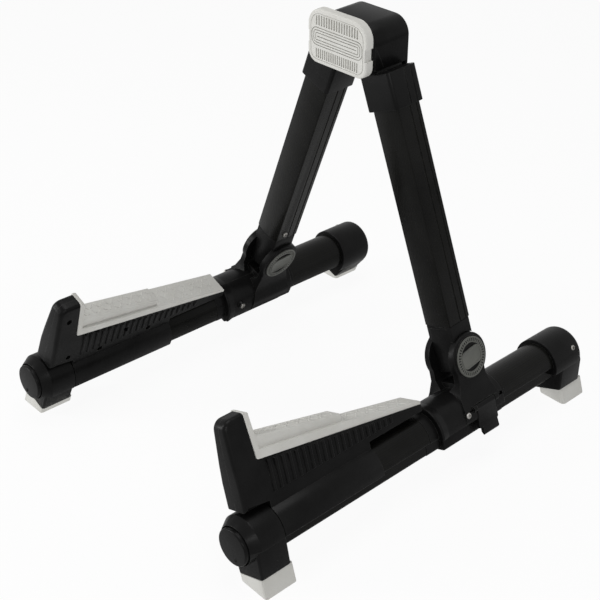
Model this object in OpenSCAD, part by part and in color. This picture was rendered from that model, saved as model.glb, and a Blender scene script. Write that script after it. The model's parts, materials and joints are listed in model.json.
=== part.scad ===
// Folding guitar stand: an A-frame of two tilted sides, hinged together in a padded head.
// Each side is an upright, a clevis that folds on it, and a leg tube that carries a cradle.
// A side is drawn in its own frame: X points outwards, Y runs along the leg to the rear, and
// Z rises along the tilted upright from the leg tube's axis. Millimetres throughout.

/* [Stand] */
// Angle that each side leans inwards, in degrees
splay = 21.2; // [18:0.1:22]
// Half the distance between the two hinge pins in the head
hinge_x = 14.4; // [14.2:0.1:15.4]
// Distance along an upright from the leg tube's axis to the head hinge pin
hinge_rise = 263; // [256:1:320]
// Height of a leg tube's axis above the floor
axis_h = 31.2; // [31:0.1:38]
// Length of a leg from the face of its front plug to the heel of its rear foot
leg_len = 336; // [330:1:400]

/* [Leg tube] */
// Outer radius of the round upper part of the tube
tube_r = 15.7; // [15:0.1:16]
// Wall of the tube
tube_wall = 1.6; // [1.2:0.1:2.4]
// Half width of the narrower keel under the tube
keel_half = 10.4; // [9:0.1:11.2]
// Depth of the keel below the tube's axis
keel_drop = 11.6; // [10.6:0.1:12]
// Depth of the ledge between the round part and the keel
ledge_drop = 1.5; // [0.8:0.1:2]
// Radius on the keel's lower corners
keel_round = 2; // [1:0.1:3]
// Gap between the tube and a piece that is fixed on it
fixed_gap = 0.1; // [0.05:0.05:0.2]
// Gap between the tube and the collar that it slides through
slide_gap = 0.25; // [0.15:0.05:0.4]

/* [Front cap] */
// Outer radius of the front cap
front_cap_r = 17.4; // [17:0.1:18.4]
// Distance from the plug's face to the seam behind the cap
seam_d = 27.6; // [26:0.1:29]
// Radius of the rim round the plug
face_r = 13.8; // [13:0.1:15]
// Distance that the plug stands out of that rim
plug_proud = 4.2; // [2:0.1:5]
// Length of the bevel between the rim and the round cap
bevel_len = 7; // [5:0.1:9]
// Radius of the front plug
plug_r = 12.1; // [10:0.1:12.2]
// Length of the block under the front cap
front_block_len = 22; // [20:0.1:26]

/* [Rear cap] */
// Outer radius of the rear cap
rear_cap_r = 18.5; // [17.8:0.1:18.8]
// Length of the rear cap
rear_cap_len = 32.5; // [30:0.1:40]
// Length of the block under the rear cap
rear_block_len = 24.5; // [20:0.1:28]
// Radius on the rear cap's closed end
rear_round = 4.2; // [1:0.1:4.3]

/* [Feet] */
// Depth of both cap blocks below the tube's axis
block_drop = 23.8; // [22:0.1:25]
// Half width of a cap block at its lower edge
block_half = 10.8; // [10:0.1:12]
// Half width of a cap block at the ledge
block_shoulder = 12.4; // [12.2:0.1:14]
// Half width of a rubber foot
foot_half = 10.1; // [9:0.1:10.5]
// Length of a front foot
front_foot_len = 23.7; // [20:0.1:26]
// Length of a rear foot
rear_foot_len = 26.4; // [22:0.1:28]
// Height of the tenon that holds a foot in its block
tenon_h = 4; // [3:0.1:5]

/* [Cradle] */
// Length of the sleeve that saddles the tube
sleeve_len = 85.5; // [70:0.5:100]
// Outer radius of the sleeve
sleeve_r = 17.4; // [17:0.1:18]
// Half width of the wedge that carries the pad
wedge_half = 9.3; // [8.5:0.1:10]
// Height of the free end's underside above the tube's axis
wedge_base = 19.6; // [18.6:0.1:20.2]
// Gap between the cradle's free end and the clevis
rest_gap = 3.8; // [2:0.1:16]
// Distance from the plug's face to the front of the hook
hook_front_d = 11; // [8:0.1:13]
// Distance from the plug's face to the rubber face of the hook
hook_face_d = 30; // [29:0.1:32]
// Height of the hook's top above the tube's axis
hook_top = 76.4; // [68:0.1:85]
// Distance that the hook's front swells forward at its foot
hook_swell = 1.8; // [0:0.1:3]
// Half width of the hook at its top
hook_half_top = 6; // [5:0.1:7.5]
// Height of the wedge's top edge at the hook
wedge_top_front = 46.4; // [42:0.1:48]
// Height of the wedge's top edge at the free end
wedge_top_rear = 24.2; // [23:0.1:26]
// Wall of the cradle's two half shells
shell_wall = 2.2; // [1.6:0.1:2.6]
// Number of ribs on each side of the wedge
rib_count = 20; // [10:1:22]
// Distance from one rib to the next
rib_pitch = 5.35; // [4:0.05:5.4]
// Width of a rib
rib_width = 1.5; // [0.8:0.1:2.5]
// Height of a rib above the wedge's side
rib_proud = 0.7; // [0.4:0.1:1]

/* [Cradle pad] */
// Half width of the rubber pad
pad_half = 8.9; // [8:0.1:9.3]
// Thickness of the rubber on the hook
hook_pad_t = 3.8; // [2.6:0.1:4.4]
// Thickness of the pad's ledge at the hook
pad_front_t = 5.6; // [5:0.1:8]
// Thickness of the pad's ledge at the step
pad_step_t = 5.4; // [4:0.1:6]
// Thickness of the pad's ledge at the free end
pad_rear_t = 2.4; // [1.8:0.1:4]
// Distance from the plug's face to the step where the platform ends
step_d = 98; // [80:0.5:120]
// Height of the platform above the ledge beside it, at the step
platform_t = 5; // [2:0.1:6]
// Height of the platform above the ledge beside it, at the hook
platform_front_t = 8.6; // [6:0.1:10]
// Half width of the platform
platform_half = 6.7; // [5:0.1:7.5]

/* [Clevis] */
// Distance from the plug's face to the front lip of the clevis
collar_d = 168; // [167:0.5:172]
// Length of the collar round the tube
collar_len = 68; // [66:0.5:76]
// Outer radius of the collar
collar_r = 18.7; // [18.4:0.1:19]
// Outer radius of the flared front lip
lip_r = 20; // [19.1:0.1:20.4]
// Length of the flare behind the front lip
lip_len = 7; // [4:0.1:12]
// Half width of the collar below the ledge
collar_half = 13.6; // [13:0.1:14.5]
// Depth of the collar below the tube's axis
collar_drop = 13.8; // [13.6:0.1:15]
// Distance from the clevis's front lip to the fold pivot
pivot_in = 46.6; // [44:0.1:49]
// Height of the fold pivot above the leg tube's axis
pivot_w = 39; // [38.4:0.1:44]
// Gap on each side between a clevis ear and the knuckle
ear_gap = 0.3; // [0.2:0.05:0.5]
// Thickness of a clevis ear
ear_t = 4.6; // [4.2:0.1:5.4]
// Radius of a clevis ear
ear_r = 17; // [16.4:0.1:17.8]
// Radius of the raised boss on an ear
boss_r = 15.2; // [15:0.1:16]
// Height of that boss above the ear
boss_h = 0.8; // [0.6:0.1:1.4]
// Radius of the badge cap in the boss
badge_r = 14.2; // [13:0.1:14.4]
// Thickness of the badge cap
badge_t = 1.7; // [1.2:0.1:1.8]
// Distance of the ear's front edge ahead of the pivot, below the ear's round end
neck_front = 15; // [13:0.1:15.4]
// Distance of the ear's rear edge behind the pivot, below the ear's round end
neck_rear = 12.8; // [11:0.1:13]
// Radius of the fold pivot bolt
bolt_r = 3; // [2:0.1:3.6]
// Gap between a hinge pin and the bore that turns on it
pin_gap = 0.05; // [0.02:0.01:0.08]

/* [Lock lever] */
// Length of the lock lever along the leg
lever_len = 19; // [16:0.1:21]
// Distance of the lever's pin outwards from the tube's axis
lever_pin_u = 18.1; // [18:0.1:18.6]
// Height of the lever's pin above the tube's axis
lever_pin_w = 5.2; // [4.8:0.1:6]
// Radius of the lever's pin
lever_pin_r = 1.1; // [0.8:0.1:1.2]
// Radius of the lever's knuckle
lever_knuckle_r = 2.3; // [2:0.1:2.4]
// Depth of the lever's finger tip below the tube's axis
lever_drop = 16.6; // [16:0.1:20]

/* [Upright] */
// Angle that the upright leans forward, in degrees
lean = 3.6; // [2:0.1:4]
// Width of the upright tube
upright_w = 22.6; // [20:0.1:23]
// Depth of the upright tube, front to rear
upright_t = 22.6; // [20:0.1:23]
// Height of the crown on its front face
crown_h = 1.4; // [0.6:0.1:2]
// Wall of the upright tube
upright_wall = 1.5; // [1.2:0.1:2]
// Radius on the upright tube's corners
upright_round = 2; // [1.6:0.1:3]
// Distance from the fold pivot to the lower end of the upright tube
upright_start = 26; // [25:0.5:32]
// Difference in half width between the upright tube and its knuckle
knuckle_inset = 0.4; // [0.2:0.1:0.8]
// Half width of the knuckle's blade between the clevis ears
blade_half = 8.5; // [7:0.1:8.8]
// Gap between the ears' round ends and the knuckle's shoulders
shoulder_gap = 0.6; // [0.4:0.1:1.2]
// Length of the knuckle's tongue inside the upright tube
tongue_len = 26; // [18:1:40]
// Width of the top socket
socket_w = 26.6; // [26:0.1:28]
// Depth of the top socket
socket_t = 26.4; // [25.8:0.1:26.8]
// Length of the top socket
socket_len = 24; // [20:0.5:34]
// Distance from the socket's top down from the head hinge pin
socket_below = 23; // [22.6:0.1:28]

/* [Head] */
// Radius of the hinge lug on an upright
lug_r = 6.6; // [5:0.1:6.8]
// Thickness of the hinge lug, front to rear
lug_t = 13; // [9:0.1:15]
// Radius of a head hinge pin
hinge_pin_r = 2.5; // [2:0.1:3.2]
// Wall of the head's side and top
head_wall = 2.5; // [2:0.1:2.7]
// Half width of the head
head_half = 25.6; // [25:0.1:27]
// Distance of the head's top above the hinge pins
head_top = 9.8; // [9.7:0.1:14]
// Radius on the head's upper corners
head_round = 12; // [9:0.1:12.5]
// Depth of the head body, front to rear
head_t = 31; // [30:0.1:36]
// Distance of the head's middle behind the uprights' middle line
head_back = 1.5; // [0:0.1:2]
// Thickness of the cover plate behind the pad
cover_t = 3.2; // [3:0.1:6]
// Distance of the head's lower edge below the hinge pins
head_below = 21.8; // [20:0.1:22]
// Distance of the side walls' lower edge below the hinge pins
side_below = 16; // [14:0.1:16.4]
// Radius on the head's lower corners
head_round_low = 6; // [3:0.1:8]

/* [Head pad] */
// Thickness of the rubber pad
head_pad_t = 6; // [4:0.1:7]
// Distance that the pad stands past the head's sides
pad_lip = 0.5; // [0:0.1:1]
// Distance of the pad's top above the hinge pins
pad_above = 14.2; // [12:0.1:15]
// Radius on the pad's upper corners
pad_round_top = 11.6; // [8:0.1:13]
// Depth of the grooves in the pad
groove_depth = 1; // [0.5:0.1:1.5]
// Number of slots in the pad's upper band
slots_top = 17; // [9:1:19]
// Number of slots in the pad's lower band
slots_low = 20; // [9:1:21]

/* [Screws] */
// Radius of a screw's shank
screw_r = 1.2; // [0.9:0.1:1.4]
// Radius of a screw's head
screw_head_r = 2.1; // [1.8:0.1:2.3]
// Height of a screw's head
screw_head_h = 1.3; // [1:0.1:1.5]
// Gap between a screw and its hole
screw_gap = 0.1; // [0.05:0.05:0.15]

/* [Hidden] */
$fn = 64;

anodised = "#232324";
moulded = "#2b2b2d";
rubber = "#b5b3ab";
bright = "#c8c8c4";
steel = "#8d8d8c";
badge_grey = "#77777a";

half_track = hinge_x + hinge_rise * sin(splay);
hinge_h = axis_h + hinge_rise * cos(splay);
front_y = -leg_len / 2;
pivot_d = collar_d + pivot_in;
pivot_y = front_y + pivot_d;
rest_end_d = collar_d - rest_gap;
head_y = pivot_y - (hinge_rise - pivot_w) * tan(lean) + head_back;
reach = 2 * leg_len;
cut = 0.5;

cap_wall_d = 11;
cap_lip = ledge_drop + 1.4;
tube_d0 = cap_wall_d + fixed_gap;
rear_cap_end = leg_len - 6.8;
rear_cap_d = rear_cap_end - rear_cap_len;
tube_d1 = rear_cap_end - 4.4;
front_block_d = 9.6;
front_foot_d = front_block_d + 0.6;
rear_foot_d = leg_len - rear_foot_len;
tenon_back = 10;
sleeve_d = seam_d + 0.4;
sleeve_end_d = sleeve_d + sleeve_len;
collar_end_d = collar_d + collar_len;

ear_in = blade_half + ear_gap;
ear_out = ear_in + ear_t;
boss_out = ear_out + boss_h;
badge_floor = boss_out - 0.9;

lever_d = pivot_d - 9;
lever_gap = 0.35;
lug_len = 3.2;

socket_top_w = hinge_rise - socket_below;
head_front_y = head_y - head_t / 2 - cover_t;
cover_y = head_y - head_t / 2;
pin_bite = 1.6;
head_rear_y = head_y + head_t / 2;
screw_seat_y = head_rear_y - screw_head_h - 0.6;

// A rectangle about the origin with exact round corners
module rounded(w, h, r) {
    square([w - 2 * r, h], center = true);
    square([w, h - 2 * r], center = true);
    for (x = [-1, 1], y = [-1, 1]) translate([x * (w / 2 - r), y * (h / 2 - r)]) circle(r);
}

// Places a side's own frame on the stand, on the right for 1 and on the left for -1
module on_side(s) {
    mirror([s < 0 ? 1 : 0, 0, 0]) translate([half_track, 0, axis_h]) rotate([0, -splay, 0]) children();
}

// Extrudes a cross-section of the leg from one distance behind the plug's face to another
module along_leg(d0, d1) {
    translate([0, front_y + d1, 0]) rotate([90, 0, 0]) linear_extrude(d1 - d0) children();
}

// Turns a radius-and-distance outline round the leg tube's axis
module turn_leg() {
    translate([0, front_y, 0]) rotate([-90, 0, 0]) rotate_extrude() children();
}

// Extrudes a side view, drawn as distance behind the plug's face and height, outwards
module across(u0, u1) {
    translate([u0, front_y, 0]) rotate([90, 0, 90]) linear_extrude(u1 - u0) children();
}

// A round bar that points outwards at one place of the side view
module bar(d, w, u0, u1, r) {
    translate([u0, front_y + d, w]) rotate([0, 90, 0]) cylinder(r = r, h = u1 - u0);
}

// A round bar along the leg at one place of its cross-section
module rod(u, w, d0, d1, r) {
    translate([u, front_y + d0, w]) rotate([-90, 0, 0]) cylinder(r = r, h = d1 - d0);
}

// Everything under the floor
module below_floor() translate([-reach, -reach, -reach]) cube([2 * reach, 2 * reach, reach]);

// The upright's own frame: Z runs up it from the fold pivot
module upright_frame() translate([0, pivot_y, pivot_w]) rotate([lean, 0, 0]) children();

// The tube's outline: a round upper part over a narrower keel
module leg_outline(grow) {
    intersection() {
        circle(tube_r + grow);
        translate([-tube_r * 2, -ledge_drop - grow]) square([tube_r * 4, tube_r * 4]);
    }
    depth = keel_drop + tube_r / 2 + grow;
    translate([0, tube_r / 2 - depth / 2]) rounded(2 * (keel_half + grow), depth, keel_round + grow / 2);
}

// The part of a round outline that lies above the ledge
module above_ledge(r, drop) {
    intersection() {
        circle(r);
        translate([-2 * r, -drop]) square([4 * r, 4 * r]);
    }
}

// The block under a cap, wider at the ledge than at the foot
module block_outline() {
    polygon([
        [-block_shoulder, 0], [-block_shoulder, -keel_drop / 2], [-block_half, -block_drop],
        [block_half, -block_drop], [block_shoulder, -keel_drop / 2], [block_shoulder, 0]
    ]);
}

// The upright tube's outline, with a crowned front face
module upright_outline(grow) {
    half = upright_w / 2;
    crown_r = (half * half + crown_h * crown_h) / (2 * crown_h);
    intersection() {
        rounded(upright_w + 2 * grow, upright_t + 2 * grow, max(0.6, upright_round + grow));
        translate([0, crown_r - upright_t / 2]) circle(crown_r + grow, $fn = 200);
    }
}

// A screw along X with its head's top at the origin and its shank to the left
module screw(len) {
    translate([-screw_head_h, 0, 0]) rotate([0, 90, 0]) cylinder(r = screw_head_r, h = screw_head_h);
    translate([-len, 0, 0]) rotate([0, 90, 0]) cylinder(r = screw_r, h = len);
}

// Front cap screw: inner side, low at the rear of the cap. Rear cap screw: outer side, near the end.
front_screw = [seam_d + 0.8, -7.6];
rear_screw = [rear_cap_end - 8.9, 5];
front_screw_top = block_shoulder - 0.1;
rear_screw_top = rear_cap_r - 0.3;

module base_tube() color(anodised) difference() {
    along_leg(tube_d0, tube_d1) difference() {
        leg_outline(0);
        leg_outline(-tube_wall);
    }
    bar(front_screw[0], front_screw[1], -2 * tube_r, 0, screw_r + screw_gap);
    bar(rear_screw[0], rear_screw[1], 0, 2 * tube_r, screw_r + screw_gap);
}

module front_cap() color(moulded) difference() {
    union() {
        intersection() {
            along_leg(plug_proud, seam_d + cut) above_ledge(front_cap_r, cap_lip);
            turn_leg() polygon([
                [0, plug_proud], [face_r, plug_proud], [front_cap_r, plug_proud + bevel_len],
                [front_cap_r, seam_d + 2 * cut], [0, seam_d + 2 * cut]
            ]);
        }
        rod(0, 0, plug_proud, cap_wall_d, face_r);
        along_leg(front_block_d, front_block_d + front_block_len) block_outline();
    }
    rod(0, 0, plug_proud - cut, plug_proud + 2, plug_r + 0.6);
    rod(0, 0, plug_proud, cap_wall_d + cut, plug_r / 2 + fixed_gap);
    along_leg(cap_wall_d, seam_d + front_block_len) leg_outline(fixed_gap);
    foot_socket(front_foot_d, front_foot_len);
    along_leg(seam_d, seam_d + front_block_len)
        translate([-reach, -cap_lip - fixed_gap]) square([2 * reach, reach]);
    mirror([1, 0, 0]) {
        bar(front_screw[0], front_screw[1], front_screw_top - screw_head_h, 2 * block_shoulder,
            screw_head_r + screw_gap);
        bar(front_screw[0], front_screw[1], 0, 2 * block_shoulder, screw_r + screw_gap);
    }
}

module front_plug() color(moulded) difference() {
    union() {
        turn_leg() polygon([
            [0, 0], [plug_r - 0.9, 0], [plug_r, 0.9], [plug_r, plug_proud + 1.8], [0, plug_proud + 1.8]
        ]);
        rod(0, 0, plug_proud, cap_wall_d - cut, plug_r / 2);
    }
    rod(0, -0.7 * plug_r, -cut, 0.7, 1);
}

module rear_cap() color(moulded) difference() {
    union() {
        intersection() {
            along_leg(rear_cap_d, rear_cap_end) above_ledge(rear_cap_r, ledge_drop + 1.8);
            turn_leg() polygon([
                [0, rear_cap_d - cut], [rear_cap_r, rear_cap_d - cut],
                [rear_cap_r, rear_cap_end - rear_round],
                [rear_cap_r - rear_round * (1 - cos(45)), rear_cap_end - rear_round * (1 - sin(45))],
                [rear_cap_r - rear_round, rear_cap_end], [0, rear_cap_end]
            ]);
        }
        along_leg(rear_cap_end - rear_block_len, rear_cap_end) block_outline();
    }
    along_leg(rear_cap_d - cut, tube_d1 + fixed_gap) leg_outline(fixed_gap);
    foot_socket(rear_foot_d, rear_foot_len);
    bar(rear_screw[0], rear_screw[1], rear_screw_top - screw_head_h, 2 * rear_cap_r,
        screw_head_r + screw_gap);
    bar(rear_screw[0], rear_screw[1], 0, 2 * rear_cap_r, screw_r + screw_gap);
}

// The hole in a block that takes a foot's tenon
module foot_socket(d, len) {
    along_leg(d + 4 - fixed_gap, d + len - tenon_back + fixed_gap) {
        translate([-foot_half + 3 - fixed_gap, -block_drop - cut])
            square([2 * (foot_half - 3 + fixed_gap), tenon_h + cut + fixed_gap]);
    }
}

// A rubber foot: a wedge cut level by the floor, with a tenon into its block
module foot(s, d, len) color(rubber) difference() {
    on_side(s) {
        along_leg(d, d + len) {
            translate([-foot_half, -axis_h * 2])
                square([2 * foot_half, axis_h * 2 - block_drop - fixed_gap / 2]);
        }
        along_leg(d + 4, d + len - tenon_back) {
            translate([-foot_half + 3, -block_drop - 1]) square([2 * (foot_half - 3), tenon_h + 1]);
        }
    }
    below_floor();
}

module cap_screws() color(bright) {
    translate([-front_screw_top, front_y + front_screw[0], front_screw[1]]) mirror([1, 0, 0])
        screw(front_screw_top - keel_half + tube_wall + 0.8);
    translate([rear_screw_top, front_y + rear_screw[0], rear_screw[1]])
        screw(rear_screw_top - tube_r + tube_wall + 1.4);
}

// Height of the wedge's top edge at a distance behind the plug's face
function wedge_top(d) =
    wedge_top_front + (wedge_top_rear - wedge_top_front) * (d - hook_face_d) / (rest_end_d - hook_face_d);
hook_back_d = hook_face_d - hook_pad_t;
hook_round = 4;

// Side view of the hook and the wedge behind it, drawn in by a margin
module cradle_side(m) {
    foot_d = hook_front_d - hook_swell;
    end_d = rest_end_d - 6 * m;
    polygon([
        [foot_d + m, wedge_base + m + 2], [foot_d + m + 2, wedge_base + m],
        [sleeve_d + m, wedge_base + m], [sleeve_d + m, tube_r + m + 1.2],
        [sleeve_end_d - m, tube_r + m + 1.2], [sleeve_end_d - m, wedge_base + m],
        [end_d, wedge_base + m], [end_d, wedge_top(end_d) - m], [hook_back_d - m, wedge_top(hook_back_d) - m],
        [hook_back_d - m, hook_top - m], [hook_front_d + m + hook_round, hook_top - m],
        [hook_front_d + m + hook_round * (1 - sin(45)), hook_top - m - hook_round * (1 - sin(45))],
        [hook_front_d + m, hook_top - m - hook_round],
        [hook_front_d - hook_swell * 0.7 + m, (wedge_base + hook_top) / 2]
    ]);
}

// Front view of the hook and wedge: straight sides to the wedge, then drawn in towards the top
module cradle_front(m) {
    top_round = 3;
    half = wedge_half - m;
    half_top = hook_half_top - m;
    polygon([
        [-half, 0], [-half, wedge_top_front - 10], [-half_top, hook_top - top_round],
        [-half_top + top_round, hook_top - m], [half_top - top_round, hook_top - m],
        [half_top, hook_top - top_round], [half, wedge_top_front - 10], [half, 0]
    ]);
}

// Screws that close the cradle's halves: distance behind the plug's face, and height
cradle_screw_at = [[18.6, 63.5], [22.6, 25.8], [50, 20.4], [71, 31.2], [93, 20.2]];

// Both halves of the cradle as one piece, hollow inside
module cradle_whole() difference() {
    union() {
        intersection() {
            across(-wedge_half, wedge_half) cradle_side(0);
            along_leg(0, rest_end_d + cut) cradle_front(0);
        }
        along_leg(sleeve_d, sleeve_end_d) above_ledge(sleeve_r, cap_lip);
        ribs();
    }
    along_leg(sleeve_d - cut, sleeve_end_d + cut) leg_outline(fixed_gap);
    difference() {
        intersection() {
            across(-wedge_half, wedge_half) cradle_side(shell_wall);
            along_leg(0, rest_end_d) cradle_front(shell_wall);
        }
        along_leg(sleeve_d - cut, sleeve_end_d + cut) circle(tube_r + shell_wall);
        for (p = cradle_screw_at) bar(p[0], p[1], -wedge_half, wedge_half, screw_head_r + 1);
    }
}

// Upright ribs on both sides of the wedge, shorter towards the free end
module ribs() {
    first = hook_face_d + 2.4;
    foot_w = 23.2;
    for (i = [0:rib_count - 1]) {
        d = first + i * rib_pitch;
        translate([-wedge_half - rib_proud, front_y + d, foot_w])
            cube([2 * (wedge_half + rib_proud), rib_width, max(1, wedge_top(d + rib_width) - 1 - foot_w)]);
    }
}

module cradle_outer() color(moulded) difference() {
    cradle_whole();
    translate([-reach, -reach, -reach]) cube([reach, 2 * reach, 2 * reach]);
    for (p = cradle_screw_at) bar(p[0], p[1], -cut, hook_half_top - 1.6, screw_r + screw_gap);
}

module cradle_inner() color(moulded) difference() {
    cradle_whole();
    translate([0, -reach, -reach]) cube([reach, 2 * reach, 2 * reach]);
    for (p = cradle_screw_at) {
        bar(p[0], p[1], -wedge_half * 2, cut, screw_r + screw_gap);
        bar(p[0], p[1], -wedge_half * 2, -hook_half_top + 3, screw_head_r + screw_gap);
    }
}

module cradle_screws() color(steel) for (p = cradle_screw_at)
    translate([-hook_half_top + 3 - screw_head_h, front_y + p[0], p[1]]) mirror([1, 0, 0])
        screw(screw_head_h + 5.5);

// Side view of the pad: a strip up the hook and a ledge along the wedge
module pad_side() {
    end_d = rest_end_d + 0.4;
    polygon([
        [hook_back_d + fixed_gap, wedge_top(hook_back_d) + fixed_gap], [hook_back_d + fixed_gap, hook_top],
        [hook_face_d, hook_top - 1], [hook_face_d, wedge_top_front + pad_front_t],
        [step_d, wedge_top(step_d) + pad_step_t], [end_d - 1, wedge_top(end_d) + pad_rear_t],
        [end_d, wedge_top(end_d) + pad_rear_t - 1], [end_d, wedge_top(end_d) + fixed_gap]
    ]);
}

// The pad as seen along the leg: as wide as the wedge below, drawn in to the hook's top
module pad_front() {
    fold_w = wedge_top_front + pad_front_t;
    polygon([
        [-pad_half, 0], [-pad_half, wedge_top_front], [-pad_half + 1, fold_w],
        [-hook_half_top + 0.4, hook_top - 2], [-hook_half_top + 2.4, hook_top],
        [hook_half_top - 2.4, hook_top], [hook_half_top - 0.4, hook_top - 2],
        [pad_half - 1, fold_w], [pad_half, wedge_top_front], [pad_half, 0]
    ]);
}

module cradle_pad() color(rubber) {
    intersection() {
        across(-pad_half, pad_half) pad_side();
        along_leg(0, rest_end_d + 1) pad_front();
    }
    across(-platform_half, platform_half) polygon([
        [hook_face_d - 1, wedge_top_front + pad_front_t - 2],
        [hook_face_d - 1, wedge_top_front + pad_front_t + platform_front_t],
        [step_d, wedge_top(step_d) + pad_step_t + platform_t], [step_d, wedge_top(step_d) + pad_step_t - 2]
    ]);
}

// Tension screws in the collar: outer side, then inner side
outer_screw = [pivot_d - 18.4, 3.6];
inner_screw = [collar_d + 13.6, 8.3];
inner_screw_seat = collar_r - 0.3;
// Dowels that line up the clevis halves above the tube
dowel_d = [pivot_d - 8.4, pivot_d + 8.4];
dowel_w = tube_r + slide_gap + 3.6;
web_top = dowel_w + screw_r + 1.2;
flank_u = collar_r + 0.5;

// Both halves of the clevis as one piece
module clevis_whole() difference() {
    union() {
        intersection() {
            along_leg(collar_d, collar_end_d) above_ledge(lip_r, ledge_drop + 1.2);
            turn_leg() polygon([
                [0, collar_d], [lip_r, collar_d], [lip_r, collar_d + 1.6], [collar_r, collar_d + lip_len],
                [collar_r, collar_end_d - 1], [collar_r - 1, collar_end_d], [0, collar_end_d]
            ]);
        }
        along_leg(collar_d + 6, collar_end_d - 4)
            translate([0, -collar_drop / 2]) rounded(2 * collar_half, collar_drop, 2);
        for (s = [-1, 1]) mirror([s < 0 ? 1 : 0, 0, 0]) {
            ear();
            flank();
        }
        across(-ear_in - cut, ear_in + cut) polygon([
            [pivot_d - 12, tube_r], [pivot_d - 11, web_top], [pivot_d + 11, web_top], [pivot_d + 12, tube_r]
        ]);
        bar(inner_screw[0], inner_screw[1], -inner_screw_seat, -tube_r + cut, screw_head_r + 0.8);
    }
    along_leg(collar_d - cut, collar_end_d + cut) leg_outline(slide_gap);
    pivot_cuts();
    for (d = dowel_d) bar(d, dowel_w, -ear_in + 1, ear_in - 1, screw_r + screw_gap);
    bar(outer_screw[0], outer_screw[1], 0, 2 * collar_r, screw_r + screw_gap);
    bar(inner_screw[0], inner_screw[1], -2 * collar_r, 0, screw_r + screw_gap);
    translate([-2 * collar_r, front_y + pivot_d - 14, -ledge_drop]) cube([2 * collar_r, reach, 1.3]);
    lever_pocket();
}

// A clevis ear: a round end on a neck that comes down to the collar, with a raised boss
module ear() {
    across(ear_in, ear_out) {
        translate([pivot_d, pivot_w]) circle(ear_r);
        polygon([
            [pivot_d - neck_front, pivot_w - ear_r / 3], [pivot_d - neck_front, 4], [pivot_d + neck_rear, 4],
            [pivot_d + neck_rear, pivot_w - ear_r / 2]
        ]);
    }
    bar(pivot_d, pivot_w, ear_out - cut, boss_out, boss_r);
}

// The sloping flank between an ear's neck and the side of the collar
module flank() intersection() {
    across(0, flank_u) polygon([
        [pivot_d - 20.6, -ledge_drop], [pivot_d - 20.6, 6.4], [pivot_d - neck_front + 0.4, 24],
        [pivot_d + neck_rear - 0.4, 24], [pivot_d + 16.4, 9], [pivot_d + 16.4, -ledge_drop]
    ]);
    along_leg(pivot_d - 21, pivot_d + 17) polygon([
        [0, -ledge_drop - 0.4], [0, 14], [ear_in + 1, 24], [ear_out - 0.3, 24], [ear_out + 1.2, 14],
        [flank_u, 6.4], [flank_u, -ledge_drop - 0.4]
    ]);
}

// The pivot's bore, the bolt head's and nut's seats, and the recesses for the badge caps
module pivot_cuts() {
    bar(pivot_d, pivot_w, -2 * boss_out, 2 * boss_out, bolt_r + pin_gap);
    for (s = [-1, 1]) mirror([s < 0 ? 1 : 0, 0, 0]) {
        bar(pivot_d, pivot_w, badge_floor, 2 * boss_out, badge_r + fixed_gap);
        bar(pivot_d, pivot_w, ear_in + 2, 2 * boss_out, bolt_r * 2 + 0.2);
    }
}

// The space in the collar's outer side that the lever lies and turns in
module lever_pocket() {
    d0 = lever_d - lever_gap;
    d1 = lever_d + lever_len + lever_gap;
    along_leg(d0, d1) {
        translate([lever_pin_u, lever_pin_w]) circle(lever_knuckle_r + lever_gap);
        translate([collar_half + 0.1, -2 * lever_drop]) square([reach, 2 * lever_drop + lever_pin_w]);
    }
    rod(lever_pin_u, lever_pin_w, d0 - lug_len, d1 + lug_len, lever_pin_r + 0.03);
}

// Lugs that carry the lever's pin
module lever_lugs() difference() {
    for (d = [lever_d - lever_gap - lug_len, lever_d + lever_len + lever_gap])
        rod(lever_pin_u, lever_pin_w, d, d + lug_len, lever_knuckle_r + 0.3);
    rod(lever_pin_u, lever_pin_w, 0, leg_len, lever_pin_r + 0.03);
    along_leg(collar_d, collar_end_d) leg_outline(slide_gap);
}

module clevis_outer() color(moulded) {
    difference() {
        clevis_whole();
        translate([-reach, -reach, -reach]) cube([reach, 2 * reach, 2 * reach]);
    }
    lever_lugs();
}

module clevis_inner() color(moulded) difference() {
    clevis_whole();
    translate([0, -reach, -reach]) cube([reach, 2 * reach, 2 * reach]);
}

module clevis_screws() color(bright) {
    for (d = dowel_d) bar(d, dowel_w, -ear_in + 1.2, ear_in - 1.2, screw_r);
    translate([flank_u + screw_head_h, front_y + outer_screw[0], outer_screw[1]])
        screw(flank_u + screw_head_h - tube_r - 0.3);
    translate([-inner_screw_seat - screw_head_h, front_y + inner_screw[0], inner_screw[1]])
        mirror([1, 0, 0]) screw(inner_screw_seat + screw_head_h - tube_r);
}

// The lever hangs on its pin over the collar's side and ends in a finger tip
module lock_lever() color(moulded) difference() {
    union() {
        rod(lever_pin_u, lever_pin_w, lever_d, lever_d + lever_len, lever_knuckle_r);
        along_leg(lever_d, lever_d + lever_len) polygon([
            [lever_pin_u - 2, lever_pin_w - 0.4], [lever_pin_u + 2.1, lever_pin_w - 0.4],
            [lever_pin_u + 0.8, -collar_drop / 2], [lever_pin_u + 1.4, -lever_drop + 0.8],
            [lever_pin_u + 0.2, -lever_drop], [lever_pin_u - 1.6, -lever_drop + 3],
            [lever_pin_u - 1.6, -collar_drop / 2], [collar_half + 0.4, -collar_drop / 2 + 1],
            [collar_half + 0.4, -collar_drop / 2 + 4], [lever_pin_u - 1.8, -ledge_drop]
        ]);
    }
    rod(lever_pin_u, lever_pin_w, 0, leg_len, lever_pin_r + pin_gap);
    rod(lever_pin_u, lever_pin_w, spring_d, spring_d + spring_len, lever_knuckle_r + 0.5);
    notch_len = 3.2;
    translate([0, front_y + lever_d - cut, -2 * lever_drop])
        cube([reach, notch_len + cut, 2 * lever_drop - 10]);
}

module lever_pin() color(steel) {
    margin = lever_gap + lug_len - 0.2;
    rod(lever_pin_u, lever_pin_w, lever_d - margin, lever_d + lever_len + margin, lever_pin_r);
}

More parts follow.
